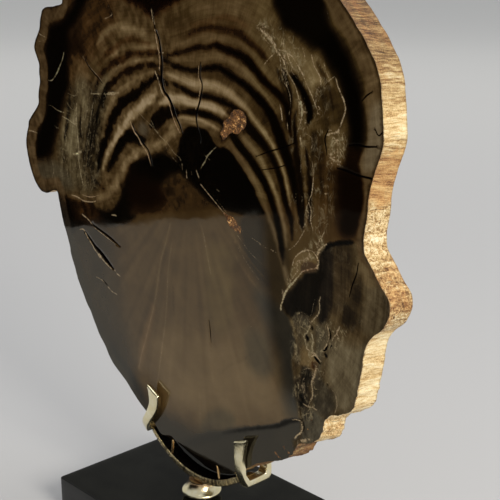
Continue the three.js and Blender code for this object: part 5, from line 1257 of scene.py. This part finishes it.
def bark_material():
    m, g, p = new_material("slab_rim")
    pos = pos_mm(g)
    per_, dep, under = g.attr("per"), g.attr("dep"), g.attr("under")
    yv = g.mul(dep, SLAB_T)
    warp = g.mul(g.plus(g.noise(g.vec(g.mul(per_, 0.06), g.mul(yv, 0.07), 0.0), 1.0, 2.0, 0.5), -0.5), 3.4)
    pw = g.plus(g.plus(per_, warp), g.mul(yv, 0.10))
    fib = g.noise(g.vec(pw, g.mul(yv, 0.10), 0.0), 1.1, 6.0, 0.74, 0.05)
    fib2 = g.noise(g.vec(pw, g.mul(yv, 0.13), 3.0), 0.34, 4.0, 0.6, 0.15)
    blotch = g.noise(g.vec(g.mul(per_, 0.09), g.mul(yv, 0.16), 7.0), 1.0, 4.0, 0.6, 0.6)
    speck = g.noise(pos, 1.3, 4.0, 0.75)
    net = g.noise(g.vec(g.mul(pw, 1.0), g.mul(yv, 0.9), 21.0), 0.62, 5.0, 0.72, 1.2)
    lum, hue, gran = g.attr("lum"), g.attr("hue"), g.attr("gran")
    lines = g.plus(g.mul(fib, g.span(gran, 0.0, 1.0, 0.62, 0.20)), g.mul(g.plus(g.mul(g.plus(net, -0.5), 2.3), 0.5), g.span(gran, 0.0, 1.0, 0.0, 0.46)))
    v = g.plus(lines, g.plus(g.mul(fib2, g.span(gran, 0.0, 1.0, 0.40, 0.34)), g.mul(g.plus(speck, -0.5), 0.30)))
    v = g.plus(g.mul(g.plus(v, -0.5), 1.16), 0.5)
    v = g.plus(v, g.mul(g.plus(lum, -0.55), 0.20))
    gold = g.ramp(v, [(0.32, srgb(84, 56, 28)), (0.42, srgb(142, 106, 60)), (0.50, srgb(196, 160, 104)), (0.57, srgb(224, 196, 142)), (0.66, srgb(244, 226, 182)), (0.78, srgb(254, 246, 220))])
    orange = g.ramp(v, [(0.30, srgb(84, 50, 24)), (0.40, srgb(150, 101, 55)), (0.50, srgb(202, 152, 92)), (0.60, srgb(234, 192, 126)), (0.72, srgb(252, 226, 168))])
    col = g.mix(g.span(g.plus(hue, g.mul(g.plus(blotch, -0.5), 1.3)), 0.35, 0.75), gold, orange)
    shade = g.span(lum, 0.2, 0.9, 0.66, 1.14, "LINEAR")
    col = g.mix(1.0, col, g.vec(shade, shade, shade), "MULTIPLY")
    # dark lines that cross here and there
    dk = g.span(g.noise(g.vec(pw, g.mul(yv, 0.05), 11.0), 0.42, 5.0, 0.75), 0.60, 0.70)
    col = g.mix(g.mul(dk, 0.6), col, srgb(74, 44, 22))
    # brown band by each face
    chips = g.noise(g.vec(g.mul(per_, 1.0), g.mul(yv, 0.8), 31.0), 0.62, 3.0, 0.7)
    lip = g.plus(g.span(g.plus(dep, g.mul(g.plus(chips, -0.5), 0.22)), -0.01, 0.07, 1.0, 0.0), g.span(dep, 0.94, 1.0, 0.0, 0.6))
    col = g.mix(g.mul(lip, 0.75), col, srgb(92, 66, 38))
    # painted shade: where the rim faces down near the foot it takes this near-black ramp
    dark = g.ramp(v, [(0.3, srgb(8, 6, 5)), (0.5, srgb(26, 19, 14)), (0.7, srgb(54, 42, 30))])
    col = g.mix(under, col, dark)
    g.put(p.inputs["Base Color"], col)
    g.put(p.inputs["Roughness"], g.span(v, 0.35, 0.7, 0.62, 0.42))
    h = g.plus(g.mul(fib, 1.0), g.plus(g.mul(fib2, 0.8), g.mul(speck, 0.25)))
    g.put(p.inputs["Normal"], g.bump(h, 0.0011, 0.9))
    g.put(p.inputs["Specular IOR Level"], g.span(under, 0.0, 1.0, 0.4, 0.02))
    return m


def brass_material(name="brass", tint=(1, 1, 1), ribbed=False):
    m, g, p = new_material(name)
    pos = pos_mm(g)
    x, y, z = g.xyz(pos)
    cloud = g.noise(pos, 0.16, 4.0, 0.6)
    scr = g.noise(g.vec(g.mul(x, 1.0), g.mul(y, 1.0), g.mul(z, 0.12)), 2.2, 4.0, 0.7)
    spots = g.span(g.noise(pos, 0.55, 4.0, 0.7), 0.62, 0.74)
    col = g.mix(g.span(cloud, 0.35, 0.7), srgb(241, 228, 184), srgb(250, 242, 208))
    col = g.mix(g.mul(spots, 0.45), col, srgb(150, 112, 56))
    # painted shade: the top of the knop, in the crevice under the bar, is tinted red-brown for the shadowed brass
    # reflection there
    rad = g.math("SQRT", g.plus(g.mul(x, x), g.mul(y, y)))
    knop_top_shade = g.mul(g.mul(g.span(z, 28.4, 31.5), g.span(z, 33.0, 34.5, 1.0, 0.0)), g.span(rad, 9.0, 11.0, 1.0, 0.0))
    col = g.mix(g.mul(knop_top_shade, g.span(cloud, 0.3, 0.6, 0.3, 0.75)), col, srgb(158, 104, 54))
    # tint: darker copies of the brass for the bar and pins, painted shade
    if tint != (1, 1, 1):
        col = g.mix(1.0, col, tint, "MULTIPLY")
    black = None
    if ribbed:  # hammered front: dark streaks painted across the bar, a painted reflection of the dark surroundings
        an = g.math("ARCTAN2", x, g.math("SUBTRACT", BASE_Z + ARC_LOW + ARC_R_TOP, z))
        bar_streak_reflection = g.noise(g.vec(g.mul(an, 57.5), g.mul(y, 0.12), 3.0), 0.55, 3.0, 0.7)
        col = g.mix(g.span(bar_streak_reflection, 0.50, 0.60, 0.0, 0.85), col, srgb(44, 32, 18))
    if ribbed:  # painted shade and reflection: the bar's upper face is painted black up to its bright front edge, for the dark slab underside above it that it faces and mirrors
        dz = g.math("SUBTRACT", BASE_Z + ARC_LOW + ARC_R_TOP, z)
        rr = g.math("SQRT", g.plus(g.mul(x, x), g.mul(dz, dz)))
        black = g.mul(g.span(rr, 58.0, 58.5, 1.0, 0.0), g.span(y, -4.35, -4.05))
        col = g.mix(black, col, srgb(14, 11, 8))
    g.put(p.inputs["Base Color"], col)
    g.put(p.inputs["Metallic"], 1.0 if black is None else g.math("SUBTRACT", 1.0, black))
    if black is not None:
        g.put(p.inputs["Specular IOR Level"], g.math("SUBTRACT", 0.5, g.mul(black, 0.46)))
    g.put(p.inputs["Roughness"], g.plus(g.span(scr, 0.3, 0.75, 0.13, 0.27), g.mul(spots, 0.15)))
    if ribbed:
        ang = g.math("ARCTAN2", x, g.math("SUBTRACT", BASE_Z + ARC_LOW + ARC_R_TOP, z))
        ribs = g.noise(g.vec(g.mul(ang, 57.5), g.mul(y, 0.05), g.mul(rr, 0.2)), 0.6, 3.0, 0.7)
        g.put(p.inputs["Normal"], g.bump(g.plus(g.mul(ribs, 2.0), g.mul(cloud, 1.0)), 0.0007, 0.9))
    else:
        g.put(p.inputs["Normal"], g.bump(g.plus(g.mul(scr, 0.5), g.mul(cloud, 1.2)), 0.00022, 0.6))
    return m


def block_material():
    m, g, p = new_material("black_block")
    pos = pos_mm(g)
    cloud = g.noise(pos, 0.05, 4.0, 0.6)
    dust = g.span(g.noise(pos, 1.4, 5.0, 0.75), 0.60, 0.78)
    col = g.mix(g.mul(dust, 0.35), g.mix(g.span(cloud, 0.3, 0.7), srgb(15, 15, 12), srgb(23, 23, 19)), srgb(70, 68, 60))
    g.put(p.inputs["Base Color"], col)
    g.put(p.inputs["Roughness"], g.plus(g.span(cloud, 0.3, 0.75, 0.10, 0.17), g.mul(dust, 0.12)))
    g.put(p.inputs["Normal"], g.bump(g.noise(pos, 0.09, 3.0, 0.5), 0.0003, 0.4))
    g.put(p.inputs["Specular IOR Level"], 0.31)
    return m


mat_front = face_material("slab_polished_face")
mat_side = bark_material()
mat_back = face_material("slab_sawn_back", polished=False)
mat_brass = brass_material()
# painted shade: the bar's brass is tinted darker than the clips' for the shade it sits in
mat_bar_shaded = brass_material("brass_bar_shaded", (0.74, 0.66, 0.54), True)
# painted shade: the pins' brass is tinted darker and browner for the shade under the slab
mat_pin_shaded = brass_material("brass_pin_shaded", (0.62, 0.46, 0.32))
mat_block = block_material()

slab = make_object("petrified_slab", V, faces, mat_front)
slab.data.materials.append(mat_side)
slab.data.materials.append(mat_back)
mi = np.zeros(len(faces), np.int32)
mi[n_front:n_front + n_side] = 1
mi[n_front + n_side:] = 2
slab.data.polygons.foreach_set("material_index", mi)
for k, v in attrs.items():
    set_attr(slab, k, v)
# keep the two rims crisp
edge_sharp = slab.data.attributes.new("sharp_edge", "BOOLEAN", "EDGE")
ev = np.zeros(len(slab.data.edges) * 2, np.int64)
slab.data.edges.foreach_get("vertices", ev)
ev = ev.reshape(-1, 2)
rim = np.zeros(len(V), np.int8)
rim[front_ids] = 1
rim[back_ids] = 2
flags = (rim[ev[:, 0]] > 0) & (rim[ev[:, 0]] == rim[ev[:, 1]])
edge_sharp.data.foreach_set("value", flags)
print("slab verts", len(V), "tris", n_front + 2 * n_side + len(tri_b))


# ------------------------------------------------------------------ brass
def loft(name, ring_list, material, sharp=None, cap=True):
    """Closed body through rings of the same length, capped by fans."""
    n = len(ring_list[0])
    verts = [tuple(p) for r in ring_list for p in r]
    fs = []
    for i in range(len(ring_list) - 1):
        for j in range(n):
            k = (j + 1) % n
            fs.append((i * n + j, i * n + k, (i + 1) * n + k, (i + 1) * n + j))
    if cap:
        a, b = len(verts), len(verts) + 1
        verts += [tuple(np.mean(ring_list[0], 0)), tuple(np.mean(ring_list[-1], 0))]
        last = (len(ring_list) - 1) * n
        for j in range(n):
            k = (j + 1) % n
            fs.append((k, j, a))
            fs.append((last + j, last + k, b))
    # outward if the volume is positive
    vv = np.array(verts)
    vol = 0.0
    for f in fs:
        for t in range(1, len(f) - 1):
            vol += np.dot(vv[f[0]], np.cross(vv[f[t]], vv[f[t + 1]]))
    if vol < 0:
        fs = [tuple(reversed(f)) for f in fs]
    ob = make_object(name, verts, fs, material)
    if sharp:
        sharpen(ob, sharp)
    return ob


def rounded_rect(w, h, r, per_corner=5, per_side=3):
    """Points round a rectangle w x h with rounded corners, centred, anticlockwise."""
    r = min(r, w / 2 - 1e-3, h / 2 - 1e-3)
    pts = []
    for cx, cy, a0 in ((w / 2 - r, -h / 2 + r, -90), (w / 2 - r, h / 2 - r, 0), (-w / 2 + r, h / 2 - r, 90), (-w / 2 + r, -h / 2 + r, 180)):
        for k in range(per_corner + 1):
            a = math.radians(a0 + 90 * k / per_corner)
            pts.append((cx + r * math.cos(a), cy + r * math.sin(a)))
    out = []
    for i, p in enumerate(pts):
        out.append(p)
        if (i + 1) % (per_corner + 1) == 0:
            q = pts[(i + 1) % len(pts)]
            for k in range(1, per_side + 1):
                f = k / (per_side + 1)
                out.append((p[0] + (q[0] - p[0]) * f, p[1] + (q[1] - p[1]) * f))
    return np.array(out)


def make_clip(name, path, seed):
    length = path[-1][0]

    def stretch(h):
        return np.where(h <= CLIP_STRAIGHT, h, CLIP_STRAIGHT + (h - CLIP_STRAIGHT) * (length - CLIP_STRAIGHT) / (CLIP_TIP - CLIP_STRAIGHT))

    outer = CLIP_FRONT_OUTER[::-1] + CLIP_BACK_OUTER
    inner = CLIP_FRONT_INNER[::-1] + CLIP_BACK_INNER
    n = 150
    oc, ic = catmull(outer, False, 0.4), catmull(inner, False, 0.4)

    def even(c, k):
        d = np.r_[0, np.cumsum(np.hypot(*(np.diff(c, axis=0).T)))]
        s = np.linspace(0, d[-1], k)
        return np.c_[np.interp(s, d, c[:, 0]), np.interp(s, d, c[:, 1])]

    # pair the two lines arm by arm so that stations stay square to the strip
    def split(c, low):
        i = int(np.argmin(np.abs(c[:, 0])))
        return c[:i + 1], c[i:]

    of, ob_ = split(oc, 0)
    inf, inb = split(ic, 0)
    O = np.vstack([even(of, n // 2), even(ob_, n // 2)[1:]])
    I = np.vstack([even(inf, n // 2), even(inb, n // 2)[1:]])
    rings_ = []
    m = len(O)
    for i in range(m):
        o, q = O[i], I[i]
        mid = (o + q) / 2
        across = o - q
        th = np.hypot(*across)
        d = across / th
        h = float(stretch(np.array(mid[1])))
        wrow = along(path, [min(max(h, 0.0), length)])[0]
        xc, zc, w, tilt = wrow
        end = min(i, m - 1 - i) * 0.35  # distance from the strip's end, about
        rounding = 1.0 if end > 0.9 else math.sqrt(max(0.0, 1 - (1 - end / 0.9) ** 2)) * 0.5 + 0.5
        prof = rounded_rect(w * (0.96 + 0.04 * rounding), th * rounding, 0.75, 5, 4)
        a = math.radians(tilt)
        ring = []
        for u, vv in prof:
            bulge = 0.22 * (1 - (2 * u / w) ** 2)  # faces are slightly crowned
            p2 = mid + d * (vv + math.copysign(bulge, vv) * min(1.0, abs(vv) / (th / 2)))
            hh = float(stretch(np.array(p2[1])))
            row = along(path, [min(max(hh, 0.0), length + 0.0)])[0]
            ring.append((row[0] + u * math.cos(a), p2[0], BASE_Z + row[1] + u * math.sin(a)))
        rings_.append(ring)
    return loft(name, rings_, mat_brass, 60)


def arc_point(deg, lower, inset=0.0):
    rad, thick = along(ARC_BAR, [deg])[0]
    r = rad + thick - inset if lower else rad + inset
    a = math.radians(deg)
    return np.array([r * math.sin(a), ARC_LOW + ARC_R_TOP - r * math.cos(a)])


def arc_cut(end, side, lower):
    t = math.radians(end[2])
    n = np.array([math.cos(t), math.sin(t)])
    lo, hi = 0.0, 50.0
    for _ in range(50):
        a = (lo + hi) / 2
        d = (arc_point(side * a, lower) - np.array(end[:2])) @ n * side
        if d < 0:
            lo = a
        else:
            hi = a
    return side * (lo + hi) / 2


def make_arc(name):
    au0, au1 = arc_cut(ARC_END_LEFT, -1, False), arc_cut(ARC_END_RIGHT, 1, False)
    al0, al1 = arc_cut(ARC_END_LEFT, -1, True), arc_cut(ARC_END_RIGHT, 1, True)
    rings_ = []
    n = 130
    for i in range(n + 1):
        f = i / n
        up = arc_point(au0 + (au1 - au0) * f, False)
        lo = arc_point(al0 + (al1 - al0) * f, True)
        mid, d = (up + lo) / 2, up - lo
        th = np.hypot(*d)
        d = d / th
        end = min(i, n - i) * 0.65
        k = 1.0 if end > 0.6 else 0.90 + 0.10 * math.sqrt(max(0, 1 - (1 - end / 0.6) ** 2))
        prof = rounded_rect(ARC_W * k, th * k, 0.75, 5, 5)
        ring = []
        for yy, vv in prof:
            p = mid + d * vv
            ring.append((p[0], yy, BASE_Z + p[1]))
        rings_.append(ring)
    return loft(name, rings_, mat_bar_shaded, 60)


def make_lathe(name, profile, material, segments=112, sharp=40):
    prof = np.array(profile, float)
    # soften the turned shape but keep its ends
    keep_ = catmull(prof[3:-1], False, 0.25)
    prof = np.vstack([prof[:3], keep_, prof[-1:]])
    verts, fs = [(0, 0, BASE_Z + prof[0, 1])], []
    body = prof[1:-1]
    for rr, zz in body:
        for k in range(segments):
            a = 2 * math.pi * k / segments
            verts.append((rr * math.cos(a), rr * math.sin(a), BASE_Z + zz))
    verts.append((0, 0, BASE_Z + prof[-1, 1]))
    top = len(verts) - 1
    for k in range(segments):
        q = (k + 1) % segments
        fs.append((0, 1 + q, 1 + k))
        last = 1 + (len(body) - 1) * segments
        fs.append((top, last + k, last + q))
        for i in range(len(body) - 1):
            a = 1 + i * segments
            fs.append((a + k, a + q, a + segments + q, a + segments + k))
    ob = make_object(name, verts, fs, material)
    sharpen(ob, sharp)
    return ob


def underside(x, yv):
    for i in range(len(SLAB_OUTLINE) - 1):
        p, q = SLAB_OUTLINE[i], SLAB_OUTLINE[i + 1]
        if p[1] < 60 and q[1] < 60 and p[0] <= x < q[0]:
            t = (x - p[0]) / (q[0] - p[0])
            fz = p[1] + t * (q[1] - p[1])
            pr, qr = rear_of(np.array([p]))[0], rear_of(np.array([q]))[0]
            bz = pr[1] + t * (qr[1] - pr[1])
            return fz + (yv + SLAB_T / 2) / SLAB_T * (bz - fz)
    return 31.0


def make_pin(name, foot, head):
    rings_ = []
    seg, n = 24, 14
    for i in range(n + 1):
        f = i / n
        ring = []
        e = min(f, 1 - f) * n
        k = 1.0 if e >= 1 else (0.8 + 0.2 * e)
        for j in range(seg):
            a = 2 * math.pi * j / seg
            x = (foot * (1 - f) + head * f) + PIN_R * k * math.cos(a)
            yv = PIN_Y + PIN_R * k * math.sin(a)
            z0 = ARC_LOW + ARC_R_TOP - math.sqrt(ARC_R_TOP ** 2 - x * x) + 0.05
            z1 = underside(x, yv) - 0.5
            ring.append((x, yv, BASE_Z + z0 * (1 - f) + z1 * f))
        rings_.append(ring)
    return loft(name, rings_, mat_pin_shaded, 60)


def make_block(name):
    """Black block with eased edges and the blind hole for the spigot."""
    def rr(inset, corner):
        w, h = BASE_X - 2 * inset, BASE_Y - 2 * inset
        return rounded_rect(w, h, max(corner - inset * 0.4, 0.4), 6, 40)

    ease = 0.9
    prof = []
    for k in range(6):
        a = math.radians(90 * k / 5)
        prof.append((ease * (1 - math.sin(a)), ease * (1 - math.cos(a))))
    levels = [(i_, z_) for i_, z_ in prof] + [(0.0, BASE_Z * f) for f in (0.25, 0.5, 0.75)] + [(i_, BASE_Z - z_) for i_, z_ in reversed(prof)]
    ring_pts = [np.c_[rr(i_, 1.4), np.full(len(rr(i_, 1.4)), z_)] for i_, z_ in levels]
    n = len(ring_pts[0])
    verts = [tuple(p) for r_ in ring_pts for p in r_]
    fs = []
    for i in range(len(ring_pts) - 1):
        for j in range(n):
            k = (j + 1) % n
            fs.append((i * n + j, i * n + k, (i + 1) * n + k, (i + 1) * n + j))

    def plate(ring_index, z_, hole, up):
        nonlocal verts, fs
        loop = ring_pts[ring_index][:, :2]
        pts = [tuple(p) for p in loop]
        loops = [list(range(n))]
        g_ = [(a, b) for a in np.arange(-BASE_X / 2 + 5, BASE_X / 2 - 4, 6.0) for b in np.arange(-BASE_Y / 2 + 5, BASE_Y / 2 - 4, 6.0) if math.hypot(a, b) > HOLE_R + 3]
        pts += g_
        hole_ids = []
        if hole:
            for k in range(48):
                a = 2 * math.pi * k / 48
                hole_ids.append(len(pts))
                pts.append((HOLE_R * math.cos(a), HOLE_R * math.sin(a)))
            loops.append(hole_ids)
        co, tr, m_ = triangulate(pts, loops)
        mid = co[tr].mean(1)
        if hole:
            tr = tr[np.hypot(mid[:, 0], mid[:, 1]) > HOLE_R - 0.02]
        ids = {}
        for i in range(n):
            ids[m_[i]] = ring_index * n + i
        for i in range(len(co)):
            if i not in ids:
                ids[i] = len(verts)
                verts.append((co[i][0], co[i][1], z_))
        for t_ in tr:
            a, b, c = (ids[t_[0]], ids[t_[1]], ids[t_[2]])
            fs.append((a, b, c) if up else (a, c, b))
        return [ids[m_[i]] for i in hole_ids]

    h_ids = plate(len(ring_pts) - 1, BASE_Z, True, True)
    plate(0, 0.0, False, False)
    low = []
    for k in range(48):
        a = 2 * math.pi * k / 48
        low.append(len(verts))
        verts.append((HOLE_R * math.cos(a), HOLE_R * math.sin(a), BASE_Z - HOLE_DEPTH))
    c_ = len(verts)
    verts.append((0, 0, BASE_Z - HOLE_DEPTH))
    for k in range(48):
        q = (k + 1) % 48
        fs.append((h_ids[k], h_ids[q], low[q], low[k]))
        fs.append((low[k], low[q], c_))
    ob = make_object(name, verts, fs, mat_block)
    sharpen(ob, 35)
    return ob


clip_l = make_clip("brass_clip_left", CLIP_LEFT_PATH, 1)
clip_r = make_clip("brass_clip_right", CLIP_RIGHT_PATH, 2)
arc_o = make_arc("brass_cradle_arc")
knop_o = make_lathe("brass_stem_knop", KNOP_PROFILE, mat_brass)
pin_l = make_pin("brass_rest_pin_left", *PIN_LEFT)
pin_r = make_pin("brass_rest_pin_right", *PIN_RIGHT)
block = make_block("black_block_base")

for ob, node, slot_ in ((slab, "petrified_wood_slab", "fossil_wood"), (block, "stand_base", "black_block"), (knop_o, "stem_knop", "brass"),
                        (arc_o, "cradle_arc", "brass"), (clip_l, "clip_left", "brass"), (clip_r, "clip_right", "brass"),
                        (pin_l, "rest_pin_left", "brass"), (pin_r, "rest_pin_right", "brass")):
    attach(ob, "root")
    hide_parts(node)

# ------------------------------------------------------------------ floor, world, lights, camera
A_, B_ = (-0.72, -0.26), (-0.10, -1.36)  # the floor ends along this line, out of the camera's sight
far = 9.0
wedge = [(A_[0] + 12 * math.cos(math.radians(197)), A_[1] + 12 * math.sin(math.radians(197))), A_, B_,
         (B_[0] + 12 * math.cos(math.radians(285)), B_[1] + 12 * math.sin(math.radians(285)))]
ringpts = [(far * math.cos(math.radians(a)), far * math.sin(math.radians(a))) for a in np.arange(285, 285 + 272.1, 8)]
fl_pts = [wedge[3]] + [p for p in ringpts[1:-1]] + [wedge[0], A_, B_]
me = bpy.data.meshes.new("floor")
me.from_pydata([(a, b, 0.0) for a, b in fl_pts], [], [list(range(len(fl_pts)))])
me.update()
floor = bpy.data.objects.new("floor", me)
scene.collection.objects.link(floor)
fm, fg, fp = new_material("floor")
fx, fy, fz = fg.xyz(pos_mm(fg))
frad = fg.math("SQRT", fg.plus(fg.mul(fx, fx), fg.mul(fy, fy)))
fg.put(fp.inputs["Base Color"], fg.mix(fg.span(frad, 400.0, 3200.0), (0.50, 0.50, 0.50), (0.93, 0.92, 0.885)))
fg.put(fp.inputs["Roughness"], 0.9)
fg.put(fp.inputs["Specular IOR Level"], 0.1)
me.materials.append(fm)

world = bpy.data.worlds.new("studio")
scene.world = world
world.use_nodes = True
wg = Nodes(world.node_tree)
wout = wg.add("ShaderNodeOutputWorld")
bg = wg.add("ShaderNodeBackground")
world.node_tree.links.new(bg.outputs[0], wout.inputs[0])
tc = wg.add("ShaderNodeTexCoord")
wx, wy, wz = wg.xyz(tc.outputs["Generated"])
hl = wg.math("SQRT", wg.plus(wg.plus(wg.mul(wx, wx), wg.mul(wy, wy)), 1e-5))
uaz = math.radians(246)
dotp = wg.math("DIVIDE", wg.plus(wg.mul(wx, math.cos(uaz)), wg.mul(wy, math.sin(uaz))), hl)
dark_zone = wg.mul(wg.span(dotp, 0.643, 0.766), wg.span(wz, 0.30, 0.60, 1.0, 0.0))
pale_col = wg.mix(wg.span(wz, 0.05, 0.9), srgb(200, 200, 199), srgb(176, 178, 182))
pale_col = wg.mix(wg.span(wz, -0.012, -0.004, 1.0, 0.0), pale_col, srgb(187, 188, 187))
# a dim stretch of room behind the stand, which the block's top and the bar mirror
uaz2 = math.radians(138)
dot2 = wg.math("DIVIDE", wg.plus(wg.mul(wx, math.cos(uaz2)), wg.mul(wy, math.sin(uaz2))), hl)
dim = wg.mul(wg.mul(wg.span(dot2, 0.82, 0.95), wg.span(wz, 0.22, 0.36)), wg.span(wz, 0.62, 0.80, 1.0, 0.0))
pale_col = wg.mix(wg.mul(dim, 0.85), pale_col, (0.10, 0.10, 0.09))
wg.put(bg.inputs["Color"], wg.mix(dark_zone, pale_col, (0.006, 0.005, 0.004)))
wg.put(bg.inputs["Strength"], 1.0)


def area(name, loc, target, size, watts, colour, size_y=None):
    l = bpy.data.lights.new(name, "AREA")
    l.energy = watts
    l.color = colour
    l.shape = "RECTANGLE"
    l.size = size
    l.size_y = size_y or size
    o = bpy.data.objects.new(name, l)
    o.location = loc
    o.rotation_euler = (Vector(target) - Vector(loc)).to_track_quat("-Z", "Y").to_euler()
    scene.collection.objects.link(o)
    return o


area("key", (1.75, -0.25, 1.05), (0, 0, 0.17), 0.7, 31, (1.0, 0.945, 0.86))
area("top", (-0.3, 0.5, 2.4), (0, 0, 0.0), 1.8, 30, (1.0, 0.99, 0.98))

cam = bpy.data.cameras.new("camera")
cam.lens = 76.6
cam.sensor_width = 36
cam.clip_start = 0.01
cam.clip_end = 60
camo = bpy.data.objects.new("camera", cam)
camo.location = (0.4415, -0.3766, 0.3423)
camo.rotation_euler = (math.radians(74), 0, math.radians(46.65))
scene.collection.objects.link(camo)
scene.camera = camo
scene.view_settings.view_transform = "Standard"
scene.view_settings.look = "None"
scene.view_settings.exposure = 0.0
scene.view_settings.gamma = 1.0
